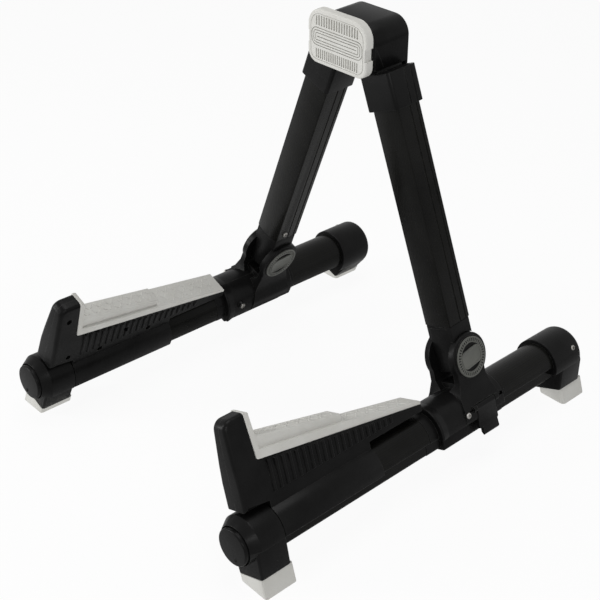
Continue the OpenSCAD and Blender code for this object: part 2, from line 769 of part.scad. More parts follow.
// Torsion spring round the lever's pin, between the two halves of its knuckle
spring_len = 6.4;
spring_d = lever_d + lever_len / 2 - spring_len / 2;
spring_wire = 0.3;
spring_turns = 5;
spring_r = lever_pin_r + spring_wire + 0.2;
spring_sides = 6;
spring_rings = 12;
spring_pitch = (spring_len - 2 * spring_wire - 0.8) / spring_turns;

function spring_ring(i) = let (
    a = 360 * i / spring_rings,
    y = spring_wire + 0.4 + spring_pitch * i / spring_rings
) [
    for (k = [0:spring_sides - 1]) let (b = 360 * k / spring_sides, r = spring_r + spring_wire * cos(b))
        [r * cos(a), y + spring_wire * sin(b), r * sin(a)]
];

module lever_spring() color(steel) {
    last = spring_turns * spring_rings;
    points = [for (i = [0:last]) each spring_ring(i)];
    n = spring_sides;
    translate([lever_pin_u, front_y + spring_d, lever_pin_w]) polyhedron(points, concat(
        [[for (k = [0:n - 1]) n - 1 - k]],
        [for (i = [0:last - 1], k = [0:n - 1]) [i * n + k, i * n + (k + 1) % n, (i + 1) * n + (k + 1) % n]],
        [for (i = [0:last - 1], k = [0:n - 1]) [i * n + k, (i + 1) * n + (k + 1) % n, (i + 1) * n + k]],
        [[for (k = [0:n - 1]) last * n + k]]
    ));
}

module pivot_bolt() color(steel) {
    bar(pivot_d, pivot_w, -badge_floor + 0.4, ear_in + 3, bolt_r);
    bar(pivot_d, pivot_w, ear_in + 2 + fixed_gap / 2, badge_floor - 0.3, bolt_r * 1.8);
}

module pivot_nut() color(steel) difference() {
    translate([-badge_floor + 0.3, pivot_y, pivot_w]) rotate([0, 90, 0])
        cylinder(r = bolt_r * 1.9, h = badge_floor - ear_in - 2.4, $fn = 6);
    bar(pivot_d, pivot_w, -2 * boss_out, 0, bolt_r + 0.05);
}

module plaque() rounded(16, 9, 3.6);

// A flat cap with a raised rim round a bare oblong plaque
module badge_cap() difference() {
    union() {
        bar(pivot_d, pivot_w, badge_floor + 0.05, badge_floor + badge_t, badge_r);
        translate([badge_floor + cut, pivot_y, pivot_w]) rotate([25, 0, 0]) rotate([90, 0, 90])
            linear_extrude(badge_t + 0.3 - cut) plaque();
    }
    difference() {
        bar(pivot_d, pivot_w, badge_floor + badge_t - 0.5, badge_floor + 2 * badge_t, badge_r * 0.74);
        translate([badge_floor, pivot_y, pivot_w]) rotate([25, 0, 0]) rotate([90, 0, 90])
            linear_extrude(2 * badge_t) plaque();
    }
}

module badge_caps() color(badge_grey) for (s = [-1, 1]) mirror([s < 0 ? 1 : 0, 0, 0]) badge_cap();

// Step from the blade's round end to its sides
cheek_step = 0.2;
// The screw that holds the knuckle in the upright tube: above the tube's end, and ahead of its middle
screw_rise = 6;
screw_front = 3.2;

// The knuckle: a blade on the fold pivot, shoulders that clear the ears, and a tongue in the tube
module knuckle() color(moulded) difference() {
    union() {
        bar(pivot_d, pivot_w, -blade_half, blade_half, upright_t / 2);
        difference() {
            upright_frame() linear_extrude(upright_start - fixed_gap) upright_outline(-knuckle_inset);
            for (s = [-1, 1]) mirror([s < 0 ? 1 : 0, 0, 0])
                bar(pivot_d, pivot_w, blade_half - cheek_step, upright_w, ear_r + shoulder_gap);
        }
        upright_frame() translate([0, 0, upright_start - 6]) linear_extrude(tongue_len + 6)
            upright_outline(-upright_wall - fixed_gap);
    }
    bar(pivot_d, pivot_w, -2 * blade_half, 2 * blade_half, bolt_r + pin_gap);
    upright_frame() translate([0, 0, upright_start - 4]) linear_extrude(tongue_len + 8)
        upright_outline(-upright_wall - fixed_gap - 2.4);
    upright_screw_hole();
}

module upright_screw_hole() upright_frame()
    translate([-upright_w, -screw_front, upright_start + screw_rise]) rotate([0, 90, 0])
        cylinder(r = screw_r + screw_gap, h = upright_w);

upright_len = socket_top_w - pivot_w - upright_start - 4;
// Grooves along the upright's sides
groove_y = [1, 7];

module upright_tube() color(anodised) difference() {
    upright_frame() translate([0, 0, upright_start]) linear_extrude(upright_len) difference() {
        upright_outline(0);
        upright_outline(-upright_wall);
        for (x = [-1, 1], y = groove_y) translate([x * upright_w / 2, y]) circle(0.45);
    }
    upright_screw_hole();
}

module upright_screw() color(bright) upright_frame()
    translate([-upright_w / 2 - screw_head_h, -screw_front, upright_start + screw_rise]) mirror([1, 0, 0])
        screw(screw_head_h + upright_wall + 3.6);

// The neck under the hinge lug, its outer side upright so that it clears the head's side wall
module lug_neck() {
    neck_drop = side_below + 1.2;
    side_u = (lug_r - 0.1) * cos(splay);
    side_w = -(lug_r - 0.1) * sin(splay);
    polygon([
        [-lug_r + 0.1, -socket_below - 2], [-lug_r + 0.1, 0], [side_u, side_w],
        [side_u - neck_drop * sin(splay), side_w - neck_drop * cos(splay)],
        [lug_r, -socket_below + 1.4], [lug_r, -socket_below - 2]
    ]);
}

// The socket over the upright's top, with the lug that turns on the head's hinge pin
module top_socket() color(moulded) difference() {
    union() {
        socket_body();
        along_head(lug_t) translate([0, hinge_rise]) circle(lug_r);
        along_head(lug_t - 0.4) translate([0, hinge_rise]) lug_neck();
    }
    upright_frame() translate([0, 0, upright_start]) linear_extrude(upright_len + 0.3)
        upright_outline(fixed_gap);
    translate([0, head_y - head_t, hinge_rise]) rotate([-90, 0, 0])
        cylinder(r = hinge_pin_r + pin_gap, h = 2 * head_t);
    for (y = groove_y) upright_frame() translate([socket_w / 2, y, upright_start])
        cylinder(r = 0.5, h = upright_len + 2 * socket_len);
}

// Extrudes a front view of one side about the head's mid plane
module along_head(t) translate([0, head_y + t / 2, 0]) rotate([90, 0, 0]) linear_extrude(t) children();

// The socket's sleeve, cut square to the side's frame at its top
module socket_body() intersection() {
    upright_frame() translate([0, 0, upright_start]) linear_extrude(upright_len + 2 * socket_len)
        rounded(socket_w, socket_t, upright_round + 0.6);
    translate([-socket_w, -reach, socket_top_w - socket_len]) cube([2 * socket_w, 2 * reach, socket_len]);
}

module hinge_pin() color(steel) translate([0, cover_y - pin_bite, hinge_rise]) rotate([-90, 0, 0])
    cylinder(r = hinge_pin_r, h = head_t + pin_bite - 1.4);

// Tilts the head's outer shape forward with the uprights
module tilted() translate([0, head_y, hinge_h]) rotate([lean, 0, 0])
    translate([0, -head_y, -hinge_h]) children();

// The head's outline seen from the front, drawn in by a margin, down to a depth below the hinge pins
module head_outline(m, low) {
    half = head_half - m;
    top = head_top - m;
    r_top = head_round - m;
    r_low = max(0.5, head_round_low - m);
    translate([-half + r_top, hinge_h - low]) square([2 * (half - r_top), low + top]);
    translate([-half, hinge_h - low + r_low]) square([2 * half, low + top - r_low - r_top]);
    translate([-half + r_low, hinge_h - low]) square([2 * (half - r_low), low]);
    for (x = [-1, 1]) {
        translate([x * (half - r_top), hinge_h + top - r_top]) circle(r_top);
        translate([x * (half - r_low), hinge_h - low + r_low]) circle(r_low);
    }
}

// Extrudes a front view of the head from one position along the leg to another
module head_slab(y0, y1) tilted() translate([0, y1, 0]) rotate([90, 0, 0])
    linear_extrude(y1 - y0) children();

// Screws that close the head, on the stand's middle plane: heights above the hinge pins
head_screw_at = [2.6, -13];
head_boss_r = 3.4;

// A round bar from front to rear in the head, at a place of its front view
module head_rod(x, z, y0, y1, r) translate([x, y0, hinge_h + z]) rotate([-90, 0, 0])
    cylinder(r = r, h = y1 - y0);

// Side tabs of the cover that taper back over the body's sides
module cover_tab(grow) {
    y0 = cover_y - cut;
    y1 = cover_y + 7.4 + grow;
    low = hinge_h - side_below;
    rotate([90, 0, 90]) linear_extrude(1.2 + grow) polygon([
        [y0, hinge_h - 2 + grow], [y0, low - grow * 8], [y1, low - grow * 8], [y1, low + 1],
        [cover_y + grow, hinge_h - 2 + grow]
    ]);
}

module head_cover() color(moulded) difference() {
    union() {
        head_slab(cover_y - cover_t, cover_y) head_outline(0, head_below);
        for (s = [-1, 1]) mirror([s < 0 ? 1 : 0, 0, 0]) {
            tilted() translate([head_half - 1.2, 0, 0]) cover_tab(0);
            head_rod(hinge_x, 0, cover_y - cut, head_y - lug_t / 2 - 0.3, hinge_pin_r + 2.4);
        }
        for (z = head_screw_at) head_rod(0, z, cover_y - cut, head_y, head_boss_r);
    }
    for (s = [-1, 1]) head_rod(s * hinge_x, 0, cover_y - pin_bite - 0.1, head_y, hinge_pin_r + 0.02);
    for (z = head_screw_at) head_rod(0, z, head_y - 8, head_y + cut, screw_r + screw_gap);
}

module head_body() color(moulded) difference() {
    union() {
        difference() {
            head_slab(cover_y + 0.05, head_rear_y) head_outline(0, head_below);
            head_slab(cover_y - cut, head_rear_y - head_wall) head_outline(head_wall, head_below + 20);
            head_slab(cover_y - cut, head_rear_y - head_wall)
                translate([-reach, hinge_h - side_below - reach]) square([2 * reach, reach]);
        }
        for (s = [-1, 1])
            head_rod(s * hinge_x, 0, head_y + lug_t / 2 + 0.3, head_rear_y - 1, hinge_pin_r + 2.4);
        for (z = head_screw_at) head_rod(0, z, head_y + 0.05, head_rear_y - 1, head_boss_r);
    }
    for (s = [-1, 1]) {
        head_rod(s * hinge_x, 0, head_y, head_rear_y - 1.2, hinge_pin_r + 0.02);
        mirror([s < 0 ? 1 : 0, 0, 0]) tilted() translate([head_half - 1.2 - 0.1, 0, 0]) cover_tab(0.1);
    }
    for (z = head_screw_at) {
        head_rod(0, z, head_y - cut, head_rear_y + 2, screw_r + screw_gap);
        head_rod(0, z, screw_seat_y, head_rear_y + 2, screw_head_r + screw_gap);
    }
}

module head_screws() color(bright) for (z = head_screw_at)
    translate([0, screw_seat_y + screw_head_h, hinge_h + z]) rotate([0, 0, 90]) screw(head_t / 2 + 6);

// The pad's outline: a rectangle with large round corners
module pad_outline(m) {
    half = head_half + pad_lip - m;
    top = pad_above - m;
    low = head_below + 0.5 - m;
    r_top = pad_round_top - m;
    r_low = 8 - m;
    translate([-half + r_top, hinge_h - low]) square([2 * (half - r_top), low + top]);
    translate([-half, hinge_h - low + r_low]) square([2 * half, low + top - r_low - r_top]);
    translate([-half + r_low, hinge_h - low]) square([2 * (half - r_low), low]);
    for (x = [-1, 1]) {
        translate([x * (half - r_top), hinge_h + top - r_top]) circle(r_top);
        translate([x * (half - r_low), hinge_h - low + r_low]) circle(r_low);
    }
}

// A row of upright slots, its ends drawn in by the outline's corners
module slot_row(count, z0, z1) {
    span = 2 * (head_half + pad_lip) - 14;
    pitch = span / count;
    for (i = [0:count - 1]) translate([(i - (count - 1) / 2) * pitch - pitch * 0.28, hinge_h + z0])
        square([pitch * 0.56, z1 - z0]);
}

// A groove along a stadium-shaped ring
module ring_groove(half, r, t) difference() {
    rounded(2 * half, 2 * r, r - 0.01);
    rounded(2 * (half - t), 2 * (r - t), r - t - 0.01);
}

module head_pad() color(rubber) difference() {
    mid = (pad_above - head_below) / 2;
    side = head_half + pad_lip;
    head_slab(head_front_y - 0.05 - head_pad_t, head_front_y - 0.05) pad_outline(0);
    tilted() for (s = [-1, 1]) translate([s * side, head_front_y - head_pad_t, hinge_h + mid - 4])
        cube([2.6, 4 * head_pad_t, 4], center = true);
    head_slab(head_front_y - 2 * head_pad_t, head_front_y - 0.05 - head_pad_t + groove_depth) {
        intersection() {
            union() {
                slot_row(slots_top, mid + 8, mid + 15.6);
                slot_row(slots_low, mid - 16, mid - 8.6);
            }
            pad_outline(3.4);
        }
        translate([0, hinge_h + mid]) for (k = [0:2]) ring_groove(23.4 - 2 * k, 6.6 - 2 * k, 0.9);
    }
}

on_side(-1) base_tube();  // base_tube_l
on_side(1) base_tube();  // base_tube_r
on_side(-1) front_cap();  // front_cap_l
on_side(1) front_cap();  // front_cap_r
on_side(-1) front_plug();  // front_plug_l
on_side(1) front_plug();  // front_plug_r
foot(-1, front_foot_d, front_foot_len);  // front_foot_l
foot(1, front_foot_d, front_foot_len);  // front_foot_r
on_side(-1) rear_cap();  // rear_cap_l
on_side(1) rear_cap();  // rear_cap_r
foot(-1, rear_foot_d, rear_foot_len);  // rear_foot_l
foot(1, rear_foot_d, rear_foot_len);  // rear_foot_r
on_side(-1) cap_screws();  // cap_screws_l
on_side(1) cap_screws();  // cap_screws_r
on_side(-1) cradle_outer();  // cradle_outer_l
on_side(1) cradle_outer();  // cradle_outer_r
on_side(-1) cradle_inner();  // cradle_inner_l
on_side(1) cradle_inner();  // cradle_inner_r
on_side(-1) cradle_pad();  // cradle_pad_l
on_side(1) cradle_pad();  // cradle_pad_r
on_side(-1) cradle_screws();  // cradle_screws_l
on_side(1) cradle_screws();  // cradle_screws_r
on_side(-1) clevis_outer();  // clevis_outer_l
on_side(1) clevis_outer();  // clevis_outer_r
on_side(-1) clevis_inner();  // clevis_inner_l
on_side(1) clevis_inner();  // clevis_inner_r
on_side(-1) clevis_screws();  // clevis_screws_l
on_side(1) clevis_screws();  // clevis_screws_r
on_side(-1) lock_lever();  // lock_lever_l
on_side(1) lock_lever();  // lock_lever_r
on_side(-1) lever_pin();  // lever_pin_l
on_side(1) lever_pin();  // lever_pin_r
on_side(-1) lever_spring();  // lever_spring_l
on_side(1) lever_spring();  // lever_spring_r
on_side(-1) pivot_bolt();  // pivot_bolt_l
on_side(1) pivot_bolt();  // pivot_bolt_r
on_side(-1) pivot_nut();  // pivot_nut_l
on_side(1) pivot_nut();  // pivot_nut_r
on_side(-1) badge_caps();  // badge_caps_l
on_side(1) badge_caps();  // badge_caps_r
on_side(-1) knuckle();  // knuckle_l
on_side(1) knuckle();  // knuckle_r
on_side(-1) upright_tube();  // upright_tube_l
on_side(1) upright_tube();  // upright_tube_r
on_side(-1) upright_screw();  // upright_screw_l
on_side(1) upright_screw();  // upright_screw_r
on_side(-1) top_socket();  // top_socket_l
on_side(1) top_socket();  // top_socket_r
on_side(-1) hinge_pin();  // hinge_pin_l
on_side(1) hinge_pin();  // hinge_pin_r
head_cover();
head_body();
head_pad();
head_screws();
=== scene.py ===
import json
import math

import bmesh
import bpy
from mathutils import Matrix, Vector


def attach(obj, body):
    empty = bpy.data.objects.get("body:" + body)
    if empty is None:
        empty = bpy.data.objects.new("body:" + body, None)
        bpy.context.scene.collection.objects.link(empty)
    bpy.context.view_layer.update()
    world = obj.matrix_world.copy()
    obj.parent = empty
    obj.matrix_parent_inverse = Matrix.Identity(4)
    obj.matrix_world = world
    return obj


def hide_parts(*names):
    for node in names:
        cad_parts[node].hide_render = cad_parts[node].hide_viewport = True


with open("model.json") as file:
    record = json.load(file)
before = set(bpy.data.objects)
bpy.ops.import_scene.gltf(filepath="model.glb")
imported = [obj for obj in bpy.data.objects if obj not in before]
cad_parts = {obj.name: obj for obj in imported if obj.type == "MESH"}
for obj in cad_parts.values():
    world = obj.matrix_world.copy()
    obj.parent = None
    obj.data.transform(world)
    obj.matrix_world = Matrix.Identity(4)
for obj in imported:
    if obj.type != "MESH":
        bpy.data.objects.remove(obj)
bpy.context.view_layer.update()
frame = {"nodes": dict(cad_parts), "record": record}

# Main sizes of the stand, in millimetres and degrees
stand = dict(splay=21.2, lean=3.6, hingeX=14.4, hingeRise=263, axisHeight=31.2, legLength=336,
             pivotD=214.6, pivotW=39, headBack=1.5)
splay, lean = math.radians(stand["splay"]), math.radians(stand["lean"])
halfTrack = stand["hingeX"] + stand["hingeRise"] * math.sin(splay)
hingeHeight = stand["axisHeight"] + stand["hingeRise"] * math.cos(splay)
frontY = -stand["legLength"] / 2
pivotY = frontY + stand["pivotD"]
headY = pivotY - (stand["hingeRise"] - stand["pivotW"]) * math.tan(lean) + stand["headBack"]

# Frames that pieces are drawn in, all in millimetres and on the right side of the stand
toMetres = Matrix.Scale(0.001, 4)
sideFrame = toMetres @ Matrix.Translation((halfTrack, 0, stand["axisHeight"])) @ Matrix.Rotation(-splay, 4, "Y")
legFrame = sideFrame @ Matrix.Translation((0, frontY, 0))
uprightFrame = sideFrame @ Matrix.Translation((0, pivotY, stand["pivotW"])) @ Matrix.Rotation(lean, 4, "X")
headFrame = toMetres @ Matrix.Translation((0, headY, hingeHeight)) @ Matrix.Rotation(lean, 4, "X")

camera = dict(focal=1159.591, azimuth=45.096, elevation=31.381, roll=2.704, distance=808.4,
              target=(1.963, -13.969, 91.408), sensor=36, frameWidth=600)


def addCamera(c):
    azimuth, elevation, roll = (math.radians(c[k]) for k in ("azimuth", "elevation", "roll"))
    back = Vector((math.sin(azimuth) * math.cos(elevation), -math.cos(azimuth) * math.cos(elevation),
                   math.sin(elevation)))
    right = Vector((math.cos(azimuth), math.sin(azimuth), 0))
    up = back.cross(right)
    turnedRight = right * math.cos(roll) + up * math.sin(roll)
    turnedUp = up * math.cos(roll) - right * math.sin(roll)
    place = Matrix((turnedRight, turnedUp, back)).transposed().to_4x4()
    place.translation = (Vector(c["target"]) + back * c["distance"]) * 0.001
    bpy.ops.object.camera_add()
    eye = bpy.context.object
    eye.matrix_world = place
    eye.data.sensor_width = c["sensor"]
    eye.data.lens = c["focal"] * c["sensor"] / c["frameWidth"]  # the focal length is given in pixels
    eye.data.clip_start = 0.01
    bpy.context.scene.camera = eye


addCamera(camera)
print("camera set")


def addNode(tree, kind, inputs=None, **settings):  # inputs given as numbers or as the sockets that feed them
    node = tree.nodes.new("ShaderNode" + kind)
    for key, value in settings.items():
        setattr(node, key, value)
    for key, value in (inputs or {}).items():
        if isinstance(value, bpy.types.NodeSocket):
            tree.links.new(value, node.inputs[key])
        else:
            node.inputs[key].default_value = value
    return node


def remap(tree, value, fromLow, fromHigh, toLow, toHigh):
    inputs = {0: value, 1: fromLow, 2: fromHigh, 3: toLow, 4: toHigh}
    return addNode(tree, "MapRange", inputs).outputs[0]


def maths(tree, operation, first, second, clamp=True):
    return addNode(tree, "Math", {0: first, 1: second}, operation=operation, use_clamp=clamp).outputs[0]


def noise(tree, vector, scale, detail, roughness=0.5):
    inputs = dict(Vector=vector, Scale=scale, Detail=detail, Roughness=roughness)
    return addNode(tree, "TexNoise", inputs).outputs[0]


studio = dict(
    floorSize=12, floorDrop=0.0004, floorColour=(0.86, 0.86, 0.86), floorGlow=0.935,
    dim=0.3, backdrop=0.955, backdropInGloss=0.8, aim=(0, 0, 0.1),
    lamps=[  # name, place in metres, size, power
        ("overhead", (0.05, 0.0, 1.3), 0.7, 6.4),
        ("frontLeft", (-0.75, -1.1, 0.75), 0.4, 5.6),
        ("frontLow", (-0.85, -1.0, 0.16), 0.35, 4.2),
        ("rightSide", (1.1, -0.5, 0.7), 0.3, 1.8),
        ("besideCamera", (0.85, -0.85, 0.72), 0.16, 1.5),
    ],
)


def addFloor(s):  # pale paper that keeps the object's shadow, and in gloss is only as bright as the lamps make it
    bpy.ops.mesh.primitive_plane_add(size=s["floorSize"], location=(0, 0, -s["floorDrop"]))
    floor = bpy.context.object
    floor.name = "studioFloor"
    paper = bpy.data.materials.new("studioPaper")
    paper.use_nodes = True
    tree = paper.node_tree
    tree.nodes.clear()
    path = addNode(tree, "LightPath").outputs
    glowing = remap(tree, path["Is Glossy Ray"], 0, 1, s["floorGlow"], 0)
    shade = addNode(tree, "BsdfDiffuse", dict(Color=(*s["floorColour"], 1))).outputs[0]
    glow = addNode(tree, "Emission", dict(Strength=1)).outputs[0]
    mix = addNode(tree, "MixShader", {0: glowing, 1: shade, 2: glow})
    addNode(tree, "OutputMaterial", dict(Surface=mix.outputs[0]))
    floor.data.materials.append(paper)


def addBackdrop(s):  # lights the object dimly, while the eye, gloss and glass see a pale backdrop
    world = bpy.data.worlds.new("studioWorld")
    bpy.context.scene.world = world
    world.use_nodes = True
    tree = world.node_tree
    tree.nodes.clear()
    path = addNode(tree, "LightPath").outputs
    seen = path["Is Camera Ray"]
    for ray in ("Is Glossy Ray", "Is Transmission Ray"):
        seen = maths(tree, "ADD", seen, path[ray])
    strength = remap(tree, path["Is Camera Ray"], 0, 1, s["backdropInGloss"], s["backdrop"])
    dim = addNode(tree, "Background", dict(Strength=s["dim"])).outputs[0]
    pale = addNode(tree, "Background", dict(Color=(1, 1, 1, 1), Strength=strength)).outputs[0]
    mix = addNode(tree, "MixShader", {0: seen, 1: dim, 2: pale})
    addNode(tree, "OutputWorld", dict(Surface=mix.outputs[0]))


def addLamps(s):
    for name, place, size, power in s["lamps"]:
        bpy.ops.object.light_add(type="AREA", location=place)
        lamp = bpy.context.object
        lamp.name = name
        lamp.data.size = size
        lamp.data.energy = power
        lamp.rotation_euler = (Vector(s["aim"]) - lamp.location).to_track_quat("-Z", "Y").to_euler()


addFloor(studio)
addBackdrop(studio)
addLamps(studio)
bpy.context.scene.view_settings.view_transform = "Standard"
print("studio set")


def newGroup(name, inputs, outputs):  # a value of None makes a vector socket
    group = bpy.data.node_groups.new(name, "ShaderNodeTree")
    for kind, sockets in (("INPUT", inputs), ("OUTPUT", outputs)):
        for label, value in sockets.items():
            sort = "NodeSocketVector" if value is None else "NodeSocketFloat"
            socket = group.interface.new_socket(label, in_out=kind, socket_type=sort)
            if value is not None and kind == "INPUT":
                socket.default_value = value
    return group, group.nodes.new("NodeGroupInput").outputs, group.nodes.new("NodeGroupOutput").inputs


def makeGrain():  # fine and coarse unevenness of a moulded or cast surface
    group, given, out = newGroup("grain", dict(Vector=None, Scale=900.0, Patches=60.0), dict(Fine=0.0, Coarse=0.0))
    for label, scale, detail, roughness in (("Fine", "Scale", 2.0, 0.6), ("Coarse", "Patches", 4.0, 0.55)):
        group.links.new(noise(group, given["Vector"], given[scale], detail, roughness), out[label])
    return group


def makeEdgeWear():  # where the surface turns within the radius, broken up by noise
    inputs = dict(Vector=None, Radius=0.0006, Gain=3.0, Breaks=260.0)
    group, given, out = newGroup("edgeWear", inputs, dict(Mask=0.0))
    rounded = addNode(group, "Bevel", dict(Radius=given["Radius"]), samples=4).outputs[0]
    here = addNode(group, "NewGeometry").outputs["Normal"]
    same = addNode(group, "VectorMath", {0: rounded, 1: here}, operation="DOT_PRODUCT")
    strong = maths(group, "MULTIPLY", maths(group, "SUBTRACT", 1.0, same.outputs["Value"]), given["Gain"])
    broken = remap(group, noise(group, given["Vector"], given["Breaks"], 3.0), 0.35, 0.6, 0.25, 1.0)
    group.links.new(maths(group, "MULTIPLY", strong, broken), out["Mask"])
    return group


def makeDust():  # a little dust on what faces up
    group, given, out = newGroup("dust", dict(Vector=None, Amount=0.2, Scale=35.0), dict(Mask=0.0))
    here = addNode(group, "NewGeometry").outputs["Normal"]
    split = addNode(group, "SeparateXYZ", {0: here})
    facing = remap(group, split.outputs["Z"], 0.1, 1.0, 0.0, 1.0)
    patchy = remap(group, noise(group, given["Vector"], given["Scale"], 5.0, 0.7), 0.3, 0.75, 0.15, 1.0)
    both = maths(group, "MULTIPLY", facing, patchy, clamp=False)
    group.links.new(maths(group, "MULTIPLY", both, given["Amount"]), out["Mask"])
    return group


def makeStreaks():  # fine lines left along the piece by drawing or brushing, along the vector's Y
    group, given, out = newGroup("streaks", dict(Vector=None, Across=2600.0, Along=14.0), dict(Value=0.0))
    across = addNode(group, "CombineXYZ", {0: given["Across"], 1: given["Along"], 2: given["Across"]})
    drawn = addNode(group, "VectorMath", {0: given["Vector"], 1: across.outputs[0]}, operation="MULTIPLY")
    group.links.new(noise(group, drawn.outputs[0], 1.0, 2.0), out["Value"])
    return group


effects = dict(grain=makeGrain(), wear=makeEdgeWear(), dust=makeDust(), streaks=makeStreaks())
surface = dict(  # colours and strengths of each finish; wear is the radius in metres and the gain
    anodised=dict(
        colour=(0.0030, 0.0030, 0.0026), patch=(0.0052, 0.0052, 0.0046), worn=(0.07, 0.068, 0.062),
        dustColour=(0.16, 0.155, 0.145), rough=(0.22, 0.32), specular=0.10, streaks=0.000005, grain=0.000003,
        wear=(0.0004, 1.6), dust=0.012),
    moulded=dict(
        colour=(0.0032, 0.0032, 0.0032), patch=(0.0056, 0.0056, 0.0056), worn=(0.085, 0.085, 0.082),
        dustColour=(0.16, 0.155, 0.145), rough=(0.26, 0.36), specular=0.09, grain=0.000012,
        wear=(0.0005, 1.6), dust=0.012),
    rubber=dict(
        colour=(0.6, 0.596, 0.566), patch=(0.56, 0.553, 0.52), worn=(0.66, 0.655, 0.63),
        dustColour=(0.36, 0.345, 0.31), rough=(0.62, 0.78), specular=0.3, grain=0.00005, scale=1300.0,
        wear=(0.0006, 1.2), dust=0.1, speckle=0.12),
    bright_screw=dict(
        colour=(0.42, 0.41, 0.39), patch=(0.30, 0.29, 0.27), worn=(0.66, 0.65, 0.62),
        dustColour=(0.1, 0.09, 0.08), metallic=1.0, rough=(0.24, 0.42), specular=0.5, grain=0.00001, scale=2400.0,
        wear=(0.00025, 2.0), dust=0.15),
    plain_steel=dict(
        colour=(0.16, 0.155, 0.15), patch=(0.10, 0.098, 0.094), worn=(0.34, 0.33, 0.32),
        dustColour=(0.07, 0.06, 0.05), metallic=1.0, rough=(0.34, 0.52), specular=0.5, streaks=0.00001,
        grain=0.00001, scale=2000.0, wear=(0.0003, 2.0), dust=0.2),
    badge=dict(
        colour=(0.115, 0.117, 0.105), patch=(0.085, 0.087, 0.078), worn=(0.17, 0.17, 0.16),
        dustColour=(0.16, 0.155, 0.145), rough=(0.34, 0.46), specular=0.25, grain=0.00002, scale=1800.0,
        wear=(0.0002, 2.0), dust=0.05),
)


def makeMaterial(name, s, turn=(0, 0, 0)):  # turn, in degrees, lays the streaks along the piece
    material = bpy.data.materials.new(name)
    material.use_nodes = True
    tree = material.node_tree
    shader = tree.nodes["Principled BSDF"].inputs
    place = addNode(tree, "TexCoord").outputs["Object"]

    def effect(kind, vector, **values):
        return addNode(tree, "Group", dict(Vector=vector, **values), node_tree=effects[kind]).outputs

    def blend(factor, first, second):
        mix = addNode(tree, "Mix", dict(Factor=factor, A=first, B=second), data_type="RGBA")
        return mix.outputs["Result"]

    def raised(height, distance, **below):
        inputs = dict(Height=height, Distance=distance, Strength=1.0, **below)
        return addNode(tree, "Bump", inputs).outputs[0]

    grain = effect("grain", place, Scale=s.get("scale", 1500.0))
    wear = effect("wear", place, Radius=s["wear"][0], Gain=s["wear"][1])
    dust = effect("dust", place, Amount=s["dust"])
    colour = blend(remap(tree, grain["Coarse"], 0.35, 0.65, 0.0, 1.0), (*s["colour"], 1), (*s["patch"], 1))
    if "speckle" in s:
        dots = remap(tree, grain["Fine"], 0.56, 0.68, 0.0, s["speckle"])
        colour = blend(dots, colour, (*[0.6 * c for c in s["colour"]], 1))
    colour = blend(wear["Mask"], colour, (*s["worn"], 1))
    colour = blend(dust["Mask"], colour, (*s["dustColour"], 1))
    tree.links.new(colour, shader["Base Color"])
    uneven, normal = grain["Fine"], raised(grain["Fine"], s["grain"])
    if "streaks" in s:
        along = addNode(tree, "Mapping", dict(Vector=place, Rotation=[math.radians(a) for a in turn]))
        uneven = effect("streaks", along.outputs[0])[0]
        normal = raised(uneven, s["streaks"], Normal=normal)
    rough = remap(tree, uneven, 0.3, 0.7, *s["rough"])
    tree.links.new(maths(tree, "ADD", rough, dust["Mask"]), shader["Roughness"])
    tree.links.new(normal, shader["Normal"])
    shader["Metallic"].default_value = s.get("metallic", 0.0)
    shader["Specular IOR Level"].default_value = s["specular"]
    return material


finishes = {name: makeMaterial(name, s) for name, s in surface.items()}
for side in ("r", "l"):  # the uprights' streaks run up them
    name = f"anodisedUpright_{side}"
    finishes[name] = makeMaterial(name, surface["anodised"], (90 - stand["lean"], 0, 0))
for row in frame["record"]["subparts"]:
    node = frame["nodes"][row["node"]]
    node.data.materials.clear()
    node.data.materials.append(finishes[row["material_slot"]])
print("finishes set")


def only(*objects):  # selects these and no others, the first one active
    bpy.ops.object.select_all(action="DESELECT")
    for obj in objects:
        obj.select_set(True)
    bpy.context.view_layer.objects.active = objects[0]


def useMode(name):
    bpy.ops.object.mode_set(mode=name)


def editAll(obj):  # with the whole mesh selected
    only(obj)
    useMode("EDIT")
    bpy.ops.mesh.select_all(action="SELECT")


def applyPlace(obj, place=None):
    if place is not None:
        obj.matrix_world = place
    only(obj)
    bpy.ops.object.transform_apply(location=True, rotation=True, scale=True)


def copyOf(obj):
    only(obj)
    bpy.ops.object.duplicate()
    return bpy.context.object


def joined(pieces):
    only(*pieces)
    bpy.ops.object.join()
    return bpy.context.object


def useModifier(obj, kind, **settings):
    only(obj)
    modifier = obj.modifiers.new(kind.lower(), kind)
    for key, value in settings.items():
        setattr(modifier, key, value)
    bpy.ops.object.modifier_apply(modifier=modifier.name)


def arcPath(centre, radius, start, end, steps):  # angles in degrees, anticlockwise
    turns = [math.radians(start + (end - start) * i / steps) for i in range(steps + 1)]
    return [(centre[0] + radius * math.cos(a), centre[1] + radius * math.sin(a)) for a in turns]


def boxPath(half, low, high):
    return [(-half, low), (half, low), (half, high), (-half, high)]


def symmetric(right):  # closes an outline given by its right side, from the bottom up
    return [(-right[0][0], right[0][1])] + right + [(-x, y) for x, y in reversed(right[1:])]


